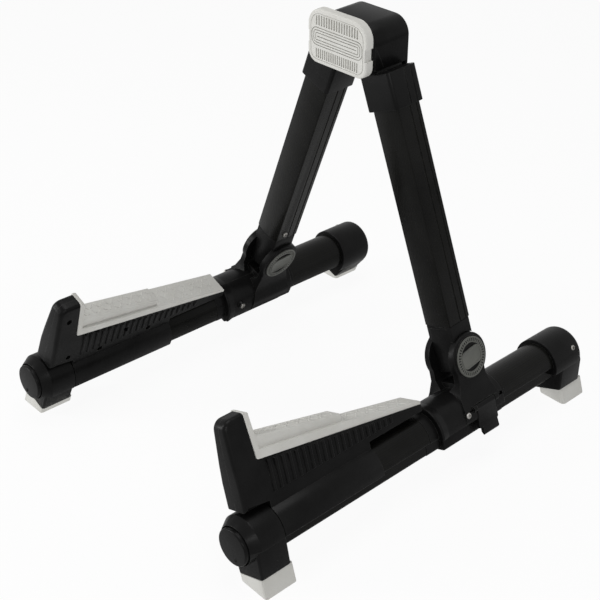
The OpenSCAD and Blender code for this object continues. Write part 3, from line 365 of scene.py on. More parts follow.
def roundPath(points, radii, steps=5, closed=True):  # radii by corner number, or one for all
    path = []
    for i, point in enumerate(points):
        radius = radii.get(i, 0) if isinstance(radii, dict) else radii
        here = Vector(point)
        before, after = Vector(points[i - 1]) - here, Vector(points[(i + 1) % len(points)]) - here
        atEnd = not closed and i in (0, len(points) - 1)
        if radius <= 0 or atEnd or before.angle(after) > math.radians(177):
            path.append(tuple(here))
            continue
        angle = before.angle(after)
        reach = min(radius / math.tan(angle / 2), before.length * 0.48, after.length * 0.48)
        radius = reach * math.tan(angle / 2)
        before.normalize()
        after.normalize()
        centre = here + (before + after).normalized() * (radius / math.sin(angle / 2))
        first, last = here + before * reach - centre, here + after * reach - centre
        turn = math.atan2(first.x * last.y - first.y * last.x, first.dot(last))
        path += [tuple(centre + Matrix.Rotation(turn * k / steps, 2) @ first) for k in range(steps + 1)]
    return path


planes = dict(
    front=lambda a, b, depth: Vector((a, depth, b)),
    side=lambda a, b, depth: Vector((depth, a, b)),
    top=lambda a, b, depth: Vector((a, b, depth)),
)


def trace(points):  # a chain of edges, drawn by extruding one vertex from point to point
    bpy.ops.object.select_all(action="DESELECT")
    bpy.ops.mesh.primitive_plane_add(size=1, location=points[0])
    obj = bpy.context.object
    useMode("EDIT")
    bpy.ops.mesh.merge(type="CENTER")
    for a, b in zip(points, points[1:]):
        bpy.ops.mesh.extrude_vertices_move(TRANSFORM_OT_translate={"value": b - a})
    bpy.ops.mesh.select_all(action="SELECT")
    return obj


def prism(path, plane, start, end):
    place = planes[plane]
    start, end = sorted((start, end))
    obj = trace([place(a, b, start) for a, b in path])
    bpy.ops.mesh.edge_face_add()
    bpy.ops.mesh.extrude_region_move(TRANSFORM_OT_translate={"value": place(0, 0, end) - place(0, 0, start)})
    bpy.ops.mesh.select_all(action="SELECT")
    bpy.ops.mesh.normals_make_consistent(inside=False)
    useMode("OBJECT")
    applyPlace(obj)
    return obj


def turned(profile, axis="Y", centre=(0, 0), steps=72):  # profile of (radius, distance along the axis)
    if axis == "Y":
        points = [Vector((centre[0] + r, s, centre[1])) for r, s in profile]
        pole, about = (centre[0], 0, centre[1]), (0, 1, 0)
    else:
        points = [Vector((s, centre[0] + r, centre[1])) for r, s in profile]
        pole, about = (0, centre[0], centre[1]), (1, 0, 0)
    obj = trace(points)
    bpy.ops.mesh.spin(steps=steps, angle=2 * math.pi, center=pole, axis=about)
    bpy.ops.mesh.select_all(action="SELECT")
    bpy.ops.mesh.remove_doubles(threshold=0.001)
    bpy.ops.mesh.normals_make_consistent(inside=False)
    useMode("OBJECT")
    applyPlace(obj)
    return obj


def turnedRounded(profile, radii, axis="Y", centre=(0, 0), steps=72, arcSteps=5):
    return turned(roundPath(profile, radii, arcSteps, closed=False), axis, centre, steps)


def discProfile(radius, start, end):
    return [(0, start), (radius, start), (radius, end), (0, end)]


def rod(axis, centre, start, end, radius, steps=32):
    return turned(discProfile(radius, *sorted((start, end))), axis, centre, steps)


def block(low, high):
    bpy.ops.object.select_all(action="DESELECT")
    bpy.ops.mesh.primitive_cube_add(size=1, location=[(a + b) / 2 for a, b in zip(low, high)])
    obj = bpy.context.object
    obj.scale = [b - a for a, b in zip(low, high)]
    applyPlace(obj)
    return obj


def combine(obj, how, *tools):
    for tool in tools:
        useModifier(obj, "BOOLEAN", object=tool, operation=how, solver="EXACT")
        bpy.data.objects.remove(tool)
    return obj


def unite(obj, *tools):
    return combine(obj, "UNION", *tools)


def cut(obj, *tools):
    return combine(obj, "DIFFERENCE", *tools)


def sliceOff(obj, point, normal):  # takes away what lies on the normal's side
    editAll(obj)
    bpy.ops.mesh.bisect(plane_co=point, plane_no=normal, use_fill=True, clear_outer=True)
    useMode("OBJECT")


def splitAtSeam(obj, start, end, top, seam=0.02):  # two half shells with a hair between them
    inner = copyOf(obj)
    cut(obj, block((-40, start, -40), (seam, end, top)))
    cut(inner, block((-seam, start, -40), (40, end, top)))
    return obj, inner


def endRim(a, b, axis, limit=0.9):  # whether an edge parts a face across the axis from one along it
    return (abs(getattr(a, axis)) > limit) != (abs(getattr(b, axis)) > limit)


def roundEdges(obj, radius, steps, test, clamp=True):  # test(middle, normal of one face, normal of the other)
    only(obj)
    useMode("EDIT")
    bpy.ops.mesh.select_mode(type="EDGE")
    bpy.ops.mesh.select_all(action="DESELECT")
    mesh = bmesh.from_edit_mesh(obj.data)
    for edge in mesh.edges:
        if len(edge.link_faces) == 2 and edge.calc_face_angle() > 0.3:
            middle = (edge.verts[0].co + edge.verts[1].co) / 2
            if test(middle, edge.link_faces[0].normal, edge.link_faces[1].normal):
                edge.select_set(True)
    bmesh.update_edit_mesh(obj.data)
    bpy.ops.mesh.bevel(offset=radius, segments=steps, affect="EDGES", clamp_overlap=clamp)
    bpy.ops.mesh.select_mode(type="VERT")
    useMode("OBJECT")


def roundRim(obj, radius, steps, axis, where=lambda m: True, limit=0.9, clamp=True):  # the edges of an end
    roundEdges(obj, radius, steps, lambda m, a, b: endRim(a, b, axis, limit) and where(m), clamp)


def finishPiece(obj, name, finish, body, nodes, smooth=32, material=None):
    obj.name = obj.data.name = name
    editAll(obj)
    bpy.ops.mesh.remove_doubles(threshold=0.000002)
    useMode("OBJECT")
    bpy.ops.object.shade_smooth_by_angle(angle=math.radians(smooth))
    obj.data.materials.clear()
    obj.data.materials.append(finishes[material or finish])
    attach(obj, body)
    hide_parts(*nodes)


def flipped(obj):  # mirrors the piece across the stand's middle and turns its faces outwards again
    obj.scale.x = -1
    applyPlace(obj)
    editAll(obj)
    bpy.ops.mesh.flip_normals()
    useMode("OBJECT")
    return obj


def bothSides(obj, place, name, finish, body, nodes, smooth=32, material=None):  # the left is a mirrored copy
    applyPlace(obj, place)
    for piece, side in ((obj, "r"), (flipped(copyOf(obj)), "l")):
        own = f"{material}_{side}" if material else None
        finishPiece(piece, f"{name}_{side}", finish, f"{body}_{side}", [f"{n}_{side}" for n in nodes], smooth, own)
    print(name, "made,", len(obj.data.polygons), "faces a side")


tube = dict(radius=15.7, wall=1.6, keelHalf=10.4, keelDrop=11.6, ledge=1.5, start=11.1, end=324.8,
            shoulderEdge=0.7, ledgeEdge=0.5, keelEdge=2)


def tubeOutline(grow, steps=56):  # a round top on a narrower keel
    t = tube
    radius, half, ledge, drop = (t[k] + grow for k in ("radius", "keelHalf", "ledge", "keelDrop"))
    low = -math.degrees(math.asin(ledge / radius))
    arc = arcPath((0, 0), radius, low, 180 - low, steps)
    keel = [(-half, -ledge), (-half, -drop), (half, -drop), (half, -ledge)]
    radii = {0: t["shoulderEdge"], steps: t["shoulderEdge"], steps + 1: t["ledgeEdge"], steps + 2: t["keelEdge"],
             steps + 3: t["keelEdge"], steps + 4: t["ledgeEdge"]}
    return roundPath(arc + keel, radii, 4)


def makeLegTube(t):
    obj = prism(tubeOutline(0), "front", t["start"], t["end"])
    cut(obj, prism(tubeOutline(-t["wall"]), "front", t["start"] - 1, t["end"] + 1))
    bothSides(obj, legFrame, "legTube", "anodised", "leg", ["base_tube"])


makeLegTube(tube)

screwHole = dict(head=2.2, shank=1.3)
frontCap = dict(radius=17.4, rim=13.5, start=2.6, bevelEnd=8.8, seam=27.6, well=13.1, wellFloor=6.2, stemHole=6.15,
                cutAt=-2.9, tubeStop=11, blockStart=8, blockEnd=31.6, shoulder=12.4, shoulderLow=-5.8, foot=10.8,
                innerFoot=11.6, drop=23.8, screw=(28.4, -7.6), screwFloor=-11.1)


def blockPiece(c, start, end):  # the block under a cap, its upright corners rounded
    path = [(-c["shoulder"], 0), (-c["shoulder"], c["shoulderLow"]), (-c["innerFoot"], -c["drop"]),
            (c["foot"], -c["drop"]), (c["shoulder"], c["shoulderLow"]), (c["shoulder"], 0)]
    obj = prism(roundPath(path, {1: 3, 4: 3}), "front", start, end)
    roundEdges(obj, 1.6, 4, lambda m, a, b: abs(m.x) > 10 and abs(abs(a.y) - abs(b.y)) > 0.9)
    roundEdges(obj, 0.5, 2, lambda m, a, b: m.z < -c["drop"] + 0.2 and min(a.z, b.z) < -0.9)
    return obj


def makeFrontCap(c):
    shell = turnedRounded([(0, c["wellFloor"]), (c["well"], c["wellFloor"]), (c["well"], c["start"]),
                           (c["rim"], c["start"]), (c["radius"], c["bevelEnd"]), (c["radius"], c["seam"]),
                           (0, c["seam"])], {2: 0.3, 3: 0.5, 4: 1.2, 5: 0.45})
    cut(shell, block((-30, 0, -40), (30, 60, c["cutAt"])))
    well, floor = c["well"] + 0.05, c["wellFloor"] + 0.05  # the round rim keeps a hair inside the shell's
    rim, front = c["rim"] - 0.05, c["start"] + 0.04
    ring = turnedRounded([(0, floor), (well, floor), (well, front), (rim, front), (rim, c["tubeStop"]),
                          (0, c["tubeStop"])], {2: 0.25, 3: 0.45})
    unite(shell, ring, blockPiece(c, c["blockStart"], c["blockEnd"]))
    cut(shell, prism(tubeOutline(0.1), "front", c["tubeStop"], 50),
        rod("Y", (0, 0), 5, 12, c["stemHole"]), rod("X", c["screw"], -20, c["screwFloor"], screwHole["head"]),
        rod("X", c["screw"], -12, 0, screwHole["shank"]))
    bothSides(shell, legFrame, "frontCap", "moulded", "leg", ["front_cap"])


makeFrontCap(frontCap)

plug = dict(radius=12.5, depth=6.0, edge=1.1, stem=6.05, stemEnd=10.5, pip=1.0, pipProud=0.45, pipLow=0.7)


def makePlug(p):
    obj = turnedRounded([(0, 0), (p["radius"], 0), (p["radius"], p["depth"]), (p["stem"], p["depth"]),
                         (p["stem"], p["stemEnd"]), (0, p["stemEnd"])], {1: p["edge"]}, steps=96, arcSteps=6)
    pip = turnedRounded([(0, -p["pipProud"]), (p["pip"], -p["pipProud"]), (p["pip"] + 0.25, 0.3), (0, 0.3)],
                        {1: 0.4}, centre=(0, -p["pipLow"] * p["radius"]), steps=24)
    unite(obj, pip)
    bothSides(obj, legFrame, "frontPlug", "moulded", "leg", ["front_plug"])


makePlug(plug)

rearCap = dict(radius=18.5, start=296.7, end=329.2, tubeStop=324.9, edge=0.6, corner=4.2, cutAt=-7.6,
               blockStart=304.7, shoulder=16.7, shoulderLow=-7.4, foot=11.2, innerFoot=11.6, drop=23.8,
               screw=(320.3, 5), screwFloor=17.2)


def makeRearCap(c):
    shell = turnedRounded(discProfile(c["radius"], c["start"], c["end"]), {1: c["edge"], 2: c["corner"]},
                          steps=96, arcSteps=8)
    cut(shell, block((-30, 280, -40), (30, 340, c["cutAt"])))
    unite(shell, blockPiece(c, c["blockStart"], c["end"]))
    cut(shell, prism(tubeOutline(0.1), "front", 290, c["tubeStop"]),
        rod("X", c["screw"], c["screwFloor"], 30, screwHole["head"]),
        rod("X", c["screw"], 12, 18, screwHole["shank"]))
    bothSides(shell, legFrame, "rearCap", "moulded", "leg", ["rear_cap"])


makeRearCap(rearCap)

feet = dict(half=10.2, innerHalf=11.2, top=-23.85, deep=60, tenon=4, tenonHalf=7.1, tenonFront=4, tenonRear=10,
            edge=0.6, front=dict(span=(7.8, 33.2), corner=1.6), rear=dict(span=(307.8, 334.8), corner=3.2))


def makeFoot(f, end):
    start, stop = f[end]["span"]
    sole = prism([(-f["innerHalf"], f["top"]), (-f["innerHalf"], -f["deep"]), (f["half"], -f["deep"]),
                  (f["half"], f["top"])], "front", start, stop)
    roundEdges(sole, f[end]["corner"], 5, lambda m, a, b: abs(abs(a.y) - abs(b.y)) > 0.9 and abs(m.x) > 9)
    tenon = block((-f["tenonHalf"], start + f["tenonFront"], f["top"] - 1),
                  (f["tenonHalf"], stop - f["tenonRear"], f["top"] - 0.05 + f["tenon"]))
    unite(sole, tenon)
    applyPlace(sole, legFrame)
    sliceOff(sole, (0, 0, 0), (0, 0, -1))  # level with the floor, whatever the leg's tilt
    roundEdges(sole, f["edge"] * 0.001, 3, lambda m, a, b: m.z < 0.0001 and min(a.z, b.z) < -0.9)
    bothSides(sole, Matrix(), f"{end}Foot", "rubber", "leg", [f"{end}_foot"])


makeFoot(feet, "front")
makeFoot(feet, "rear")

cradle = dict(front=11, swell=1.8, top=76.4, base=19.6, back=26.2, half=9.3, halfTop=6, taperFrom=36.4, taperTo=73.4,
              wedgeStart=30, wedgeFront=46.4, wedgeRear=24.2, end=164.2, hookEdge=2.8,
              sleeveStart=28, sleeveEnd=113.5, sleeveRadius=17.4, sleeveBore=15.8, sleeveLow=2.9, sleeveLip=1.6,
              underside=13.6, ribs=20, ribFirst=32.4, ribPitch=5.35, ribWidth=2.6, ribProud=0.9, ribLow=23.2,
              ribEdge=0.88, screws=[(18.6, 63.5), (22.6, 25.8), (50, 20.4), (71, 31.2), (93, 20.2)])


def wedgeTop(d):
    start, end, front, rear = (cradle[k] for k in ("wedgeStart", "end", "wedgeFront", "wedgeRear"))
    return front + (rear - front) * (d - start) / (end - start)


def cradleBody(c):
    middle = (c["base"] + c["top"]) / 2
    path = [(c["front"] - c["swell"], c["base"]), (c["sleeveStart"], c["base"]), (c["sleeveStart"], c["underside"]),
            (c["sleeveEnd"], c["underside"]), (c["sleeveEnd"], c["base"]), (c["end"], c["base"]),
            (c["end"], wedgeTop(c["end"])), (c["back"], wedgeTop(c["back"])), (c["back"], c["top"]),
            (c["front"], c["top"]), (c["front"] - c["swell"] * 0.75, middle)]
    obj = prism(roundPath(path, {6: 0.8, 9: 6.5, 10: 60}, 8), "side", -c["half"], c["half"])
    view = symmetric([(c["half"] + 1, 0), (c["half"] + 1, c["taperFrom"]), (c["half"], c["taperFrom"]),
                      (c["halfTop"], c["taperTo"]), (c["halfTop"] - 0.3, 90)])
    combine(obj, "INTERSECT", prism(view, "front", 0, 180))
    roundRim(obj, c["hookEdge"], 6, "x", lambda m: m.y < c["back"] - 0.6, clamp=False)
    return obj


def cradleRibs(c):
    ribs = []
    face = c["half"] + c["ribProud"]
    for i in range(c["ribs"]):
        d = c["ribFirst"] + i * c["ribPitch"]
        height = max(1.2, wedgeTop(d + c["ribWidth"]) - 1.2 - c["ribLow"])
        for s in (-1, 1):
            ribs.append(block((s * c["half"] - 1, d, c["ribLow"]),
                              (s * c["half"] + 1, d + c["ribWidth"], c["ribLow"] + height)))
    ribbing = joined(ribs)
    for s in (-1, 1):
        sliceOff(ribbing, (s * face, 0, 0), (s, 0, 0))
    roundEdges(ribbing, c["ribEdge"], 5, lambda m, a, b: abs(m.x) > face - 0.01 and max(abs(a.x), abs(b.x)) > 0.9)
    return ribbing


def cradleSleeve(c):
    radius, bore, low, lip = c["sleeveRadius"], c["sleeveBore"], c["sleeveLow"], c["sleeveLip"]
    turn = -math.degrees(math.asin(low / radius))
    inner = [(bore * math.cos(math.radians(a)), bore * math.sin(math.radians(a))) for a in range(180, -1, -4)]
    section = arcPath((0, 0), radius, turn, 180 - turn, 56) + [(-10.5, -low), (-10.5, -lip), (-15.7, -lip)]
    section += inner + [(15.7, -lip), (10.5, -lip), (10.5, -low)]
    sleeve = prism(roundPath(section, {0: 0.6, 56: 0.6}, 3), "front", c["sleeveStart"], c["sleeveEnd"])
    roundRim(sleeve, 0.5, 2, "y", lambda m: m.xz.length > 17 and m.z > -2)
    return sleeve


def makeCradle(c):
    obj = cradleBody(c)
    unite(obj, cradleRibs(c), cradleSleeve(c))
    holes = [rod("X", p, -20, -3, screwHole["head"]) for p in c["screws"]]
    cut(obj, prism(tubeOutline(0.12), "front", 0, 200), *holes)
    outer, inner = splitAtSeam(obj, -20, 200, 100)
    bothSides(outer, legFrame, "cradleOuter", "moulded", "leg", ["cradle_outer"])
    bothSides(inner, legFrame, "cradleInner", "moulded", "leg", ["cradle_inner"])


makeCradle(cradle)

pad = dict(half=8.9, hookHalf=5.8, back=26.35, face=30, seat=0.1, frontThick=5.6, stepAt=98, stepThick=5.4,
           rearThick=2.4, end=164.6, platformHalf=6.7, platformFront=8.6, platformStep=5, edge=0.8, platformEdge=0.9)


def padTop(d, thick):
    return wedgeTop(d) + thick


def makePad(p):
    top, low, step, half = cradle["top"], cradle["wedgeFront"], p["stepAt"], p["half"]
    fold = low + p["frontThick"]

    def upperRim(m, a, b):
        return endRim(a, b, "x") and max(a.z, b.z, a.y, b.y) > 0.3
    path = [(p["back"], padTop(p["back"], p["seat"])), (p["back"], top + 0.2), (p["face"], top - 0.9),
            (p["face"], fold), (step, padTop(step, p["stepThick"])), (p["end"], padTop(p["end"], p["rearThick"])),
            (p["end"], padTop(p["end"], p["seat"]))]
    obj = prism(roundPath(path, {0: 1.5, 1: 0.8, 2: 1.2, 3: 1.2, 5: 0.9}), "side", -half, half)
    view = symmetric([(half, 0), (half, low), (half - 0.4, fold), (p["hookHalf"], top - 3), (p["hookHalf"], 90)])
    combine(obj, "INTERSECT", prism(view, "front", 0, 180))
    roundEdges(obj, p["edge"], 3, lambda m, a, b: upperRim(m, a, b) and m.y > p["back"] + 0.3)
    path = [(p["face"] - 1.5, low), (p["face"] - 1.5, fold + p["platformFront"]),
            (step, padTop(step, p["stepThick"]) + p["platformStep"]), (step + 0.6, padTop(step, 2))]
    raised = prism(roundPath(path, {2: 1.0}), "side", -p["platformHalf"], p["platformHalf"])
    roundEdges(raised, p["platformEdge"], 4, lambda m, a, b: upperRim(m, a, b) and m.y > p["face"])
    unite(obj, raised)
    bothSides(obj, legFrame, "cradlePad", "rubber", "leg", ["cradle_pad"], 28)


makePad(pad)

tread = dict(pitch=4.6, length=4.4, width=1.0, height=0.28, sunk=0.35, margin=1.6, turn=40, edge=0.22)


def makeTreads(t):  # low slanted bars on the pad's two top faces, turned one way and then the other
    p, step = pad, pad["stepAt"]
    stepTop = padTop(step, p["stepThick"])
    faces = [  # first and last bar, half width, then the line that the face follows
        (p["face"] + 4, step - 3, p["platformHalf"], p["face"],
         cradle["wedgeFront"] + p["frontThick"] + p["platformFront"], step, stepTop + p["platformStep"]),
        (step + 4, p["end"] - 4, p["half"], step, stepTop, p["end"], padTop(p["end"], p["rearThick"])),
    ]
    bars = []
    for start, end, half, d0, w0, d1, w1 in faces:
        half -= t["margin"]
        tilt = Matrix.Rotation(math.atan2(w1 - w0, d1 - d0), 4, "X")
        rows = max(2, int(2 * half / t["length"]))
        for i in range(int((end - start) / t["pitch"]) + 1):
            d = start + i * t["pitch"]
            w = w0 + (w1 - w0) * (d - d0) / (d1 - d0)
            for j in range(rows):
                u = (j - (rows - 1) / 2) * 2 * half / rows
                slant = math.radians(t["turn"] if (i + j) % 2 else -t["turn"])
                bar = block((-t["length"] / 2, -t["width"] / 2, -t["sunk"]),
                            (t["length"] / 2, t["width"] / 2, t["height"]))
                bar.matrix_world = Matrix.Translation((u, d, w)) @ tilt @ Matrix.Rotation(slant, 4, "Z")
                bars.append(bar)
    only(*bars)
    bpy.ops.object.transform_apply(location=True, rotation=True, scale=True)
    obj = joined(bars)
    useModifier(obj, "BEVEL", width=t["edge"], segments=2, limit_method="ANGLE", angle_limit=math.radians(40))
    bothSides(obj, legFrame, "padTreads", "rubber", "leg", [])


makeTreads(tread)

clevis = dict(start=168, end=236, radius=18.7, lip=20, lipWidth=1.8, lipEnd=175.5, cutAt=-2.7, keelHalf=13.6,
              keelDrop=13.8, pivot=(214.6, 39), pivotBore=6.2, earIn=8.8, earOut=13.4, earRadius=17, neckFront=15,
              neckRear=12.8, bossRadius=15.2, bossOut=14.2, badgeRadius=14.3, badgeFloor=13.3, flank=19.2, gap=0.25,
              outerScrew=(196.2, 3.6), innerScrew=(181.6, 8.3), leverPin=(18.1, 5.2), leverStart=205.6,
              leverEnd=224.6, leverGap=0.35, lugWidth=3.2, lugRadius=2.6, pinBore=1.13)


def clevisEar(c, s):  # the ear, its boss and the flank that carries it, on the side that s names
    d, w = c["pivot"]
    rearTurn, frontTurn = (math.degrees(math.acos(c[k] / c["earRadius"])) for k in ("neckRear", "neckFront"))
    arc = arcPath((d, w), c["earRadius"], -rearTurn, 180 + frontTurn, 52)
    neck = [(d + c["neckRear"], 4)] + arc + [(d - c["neckFront"], 4)]
    ear = prism(neck, "side", s * c["earIn"], s * c["earOut"])
    roundRim(ear, 0.8, 3, "x", lambda m: abs(m.x) > c["earOut"] - 0.01)
    boss = turnedRounded(discProfile(c["bossRadius"], s * (c["earOut"] - 1), s * c["bossOut"]), {2: 0.6},
                         "X", c["pivot"], 96)
    path = [(d - 20.6, -1.5), (d - 20.6, 6.4), (d - c["neckFront"] + 0.4, 24), (d + c["neckRear"] - 0.4, 24),
            (d + 16.4, 9), (d + 16.4, -1.5)]
    flank = prism(roundPath(path, {1: 5, 4: 4}), "side", 0, s * c["flank"])
    front = roundPath([(0, -1.9), (0, 14), (c["earIn"] + 0.6, 24), (c["earOut"] - 0.3, 24), (c["earOut"] + 1.2, 14),
                       (c["flank"], 6.4), (c["flank"], -1.9)], {3: 1, 4: 12, 5: 6})
    combine(flank, "INTERSECT", prism([(s * u, v) for u, v in front], "front", d - 21, d + 17))
    return [ear, boss, flank]


def clevisCuts(c):
    (d, w), (u, v) = c["pivot"], c["leverPin"]
    start, end = c["leverStart"] - c["leverGap"], c["leverEnd"] + c["leverGap"]
    cuts = [prism(tubeOutline(c["gap"]), "front", 160, 240), rod("X", (d, w), -20, 20, c["pivotBore"])]
    for s in (-1, 1):
        cuts.append(rod("X", (d, w), s * c["badgeFloor"], s * 20, c["badgeRadius"], 96))
    cuts += [rod("X", c["outerScrew"], 0, 40, screwHole["shank"]),
             rod("X", c["innerScrew"], -40, 0, screwHole["shank"])]
    cuts.append(block((-40, d - 14, -1.5), (0, 240, -0.2)))  # a slit that the tension screw closes
    cuts.append(rod("Y", (u, v), start, end, c["lugRadius"] + 0.05))
    cuts.append(block((c["keelHalf"] + 0.1, start, -30), (40, end, v)))
    return cuts


def makeClevis(c):
    d, w = c["pivot"]
    half, drop = c["keelHalf"], c["keelDrop"]
    body = turnedRounded([(0, c["start"]), (c["lip"], c["start"]), (c["lip"], c["start"] + c["lipWidth"]),
                          (c["radius"], c["lipEnd"]), (c["radius"], c["end"]), (0, c["end"])],
                         {1: 0.7, 2: 1.2, 3: 6, 4: 1}, steps=96)
    cut(body, block((-30, 160, -40), (30, 240, c["cutAt"])))
    keel = prism(roundPath([(-half, 1), (-half, -drop), (half, -drop), (half, 1)], {1: 2.2, 2: 2.2}),
                 "front", c["start"] + 6, c["end"] - 4)
    roundRim(keel, 0.6, 2, "y", lambda m: m.z < 0)
    web = prism([(d - 12, 15.7), (d - 11, 22), (d + 11, 22), (d + 12, 15.7)], "side",
                -c["earIn"] - 0.5, c["earIn"] + 0.5)
    screwBoss = rod("X", c["innerScrew"], -c["radius"] + 0.3, -15.5, 2.9)
    unite(body, keel, *clevisEar(c, -1), *clevisEar(c, 1), web, screwBoss)
    cut(body, *clevisCuts(c))
    outer, inner = splitAtSeam(body, 150, 250, 60)
    for lugEnd, way in ((c["leverStart"] - c["leverGap"], -1), (c["leverEnd"] + c["leverGap"], 1)):
        unite(outer, rod("Y", c["leverPin"], lugEnd, lugEnd + way * c["lugWidth"], c["lugRadius"]))
    cut(outer, prism(tubeOutline(c["gap"]), "front", 160, 240),
        rod("Y", c["leverPin"], 195, 235, c["pinBore"]))
    bothSides(outer, legFrame, "clevisOuter", "moulded", "clevis", ["clevis_outer"])
    bothSides(inner, legFrame, "clevisInner", "moulded", "clevis", ["clevis_inner"])


makeClevis(clevis)

lever = dict(radius=2.3, bore=1.15, drop=16.6, notch=3.2, waist=6.9, edge=0.5)


def makeLever(v):
    (u, w), start, end = clevis["leverPin"], clevis["leverStart"], clevis["leverEnd"]
    low, waist = -v["drop"], -v["waist"]
    path = [(u - 2, w - 0.4), (u + 2.1, w - 0.4), (u + 0.8, waist), (u + 1.6, low + 1.4), (u + 0.4, low),
            (u - 1.4, low + 2.4), (u - 1.6, waist), (14, waist + 1), (14, waist + 4), (u - 1.8, -1.5)]
    plate = prism(roundPath(path, {2: 10, 3: 0.8, 4: 0.6, 5: 1, 6: 0.4}, 5), "front", start, end)
    roundRim(plate, v["edge"], 3, "y", lambda m: m.x > u - 1.9)
    unite(plate, rod("Y", (u, w), start, end, v["radius"]))
    cut(plate, rod("Y", (u, w), 195, 235, v["bore"]),
        block((0, start - 1, -30), (40, start + v["notch"], -10)))
    bothSides(plate, legFrame, "lockLever", "moulded", "lever", ["lock_lever"])


makeLever(lever)

badge = dict(floor=13.35, top=15.0, radius=14.2, ring=10.3, ringSunk=0.9, ticked=(11, 13), tickSunk=0.35, ticks=40,
             tickHalf=0.5, plaqueHalf=9.9, plaqueHigh=6.3, plaqueCorner=4.4, plaqueProud=0.3, plaqueRim=0.9,
             plaqueSunk=0.05, turn=8)


def badgePlaque(b):
    turn = Matrix.Rotation(math.radians(b["turn"]), 2)

    def outline(grow):
        half, high = b["plaqueHalf"] + grow, b["plaqueHigh"] + grow
        corners = roundPath(boxPath(half, -high, high), b["plaqueCorner"] + grow, 8)
        return [tuple(turn @ Vector(q) + Vector(clevis["pivot"])) for q in corners]
    plate = prism(outline(0), "side", b["top"] - 1.4, b["top"] + b["plaqueProud"])
    inside = prism(outline(-b["plaqueRim"]), "side", b["top"] - b["plaqueSunk"], b["top"] + 2)
    cut(plate, inside)
    roundRim(plate, 0.15, 2, "x", lambda m: m.x > b["top"] - 0.1)
    return plate


def makeBadges(b):
    pivot, top, (near, far) = clevis["pivot"], b["top"], b["ticked"]
    sunk, low = top - b["tickSunk"], top - b["ringSunk"]
    cap = turnedRounded([(0, b["floor"]), (b["radius"], b["floor"]), (b["radius"], top), (far + 0.2, top),
                         (far, sunk), (near, sunk), (near - 0.2, top), (b["ring"], top), (b["ring"] - 0.3, low),
                         (0, low)], {2: 0.5}, "X", pivot, 96)
    ticks = []
    for i in range(b["ticks"]):
        tick = block((top - 0.6, -b["tickHalf"], near - 0.1), (top, b["tickHalf"], far + 0.1))
        applyPlace(tick, Matrix.Translation((0, *pivot)) @ Matrix.Rotation(2 * math.pi * i / b["ticks"], 4, "X"))
        ticks.append(tick)
    unite(cap, badgePlaque(b))
    cap = joined([cap, joined(ticks)])
    cap = joined([cap, flipped(copyOf(cap))])
    bothSides(cap, legFrame, "badgeCaps", "badge", "clevis", ["badge_caps"])
    inlays = []  # black fillings behind the plaque and under the ticks
    for s in (-1, 1):
        inlays.append(turned(discProfile(b["ring"] - 0.35, s * (top - 1.2), s * (top - 0.72)), "X", pivot, 64))
        inner, outer, back, face = near + 0.05, far - 0.05, s * (top - 0.6), s * (top - 0.28)
        ring = [(inner, back), (outer, back), (outer, face), (inner, face), (inner, back)]
        inlays.append(turned(ring, "X", pivot, 64))
    bothSides(joined(inlays), legFrame, "badgeInlays", "moulded", "clevis", [])


makeBadges(badge)

upright = dict(half=11.3, crown=46.3, rear=11.3, corner=2.2, innerCorner=1.2, rearCorner=2, start=26, end=197,
               wall=1.5, edge=0.25, grooves=(1, 7), grooveRadius=0.65, screw=(-3.2, 32))


def grooveEdge(half, radius):  # the outer edge of a section, with the grooves cut into it
    edge = []
    for y in upright["grooves"]:
        edge += [(half, y - radius)] + arcPath((half, y), radius, 240, 120, 3) + [(half, y + radius)]
    return edge


def uprightOutline(grow, grooves=True, corner=2.2):  # a crowned front on a square rear
    u = upright
    half, rear, radius = u["half"] + grow, u["rear"] + grow, u["crown"] + grow
    reach = math.degrees(math.asin(half / radius))
    path = arcPath((0, u["crown"] - u["rear"]), radius, 270 - reach, 270 + reach, 20)
    right = grooveEdge(half, u["grooveRadius"]) if grooves else []
    path += right + [(half, rear), (-half, rear)] + [(-x, y) for x, y in reversed(right)]
    last = 20 + len(right)
    return roundPath(path, {0: corner, 20: corner, last + 1: u["rearCorner"], last + 2: u["rearCorner"]}, 6)


def makeUprightTube(u):
    obj = prism(uprightOutline(0, corner=u["corner"]), "top", u["start"], u["end"])
    roundRim(obj, u["edge"], 2, "z", lambda m: m.z < u["start"] + 0.01)
    hollow = prism(uprightOutline(-u["wall"], False, u["innerCorner"]), "top", u["start"] - 1, u["end"] + 1)
    cut(obj, hollow, rod("X", u["screw"], -15, 0, screwHole["shank"]))
    bothSides(obj, uprightFrame, "uprightTube", "anodised", "upright", ["upright_tube"], material="anodisedUpright")


makeUprightTube(upright)

knuckle = dict(blade=8.65, radius=6.7, reach=11.3, corner=2.2, inset=0.25, fit=0.1, shoulder=17.6, shoulderCorner=3,
               top=25.65, tongue=34, bore=3.05)


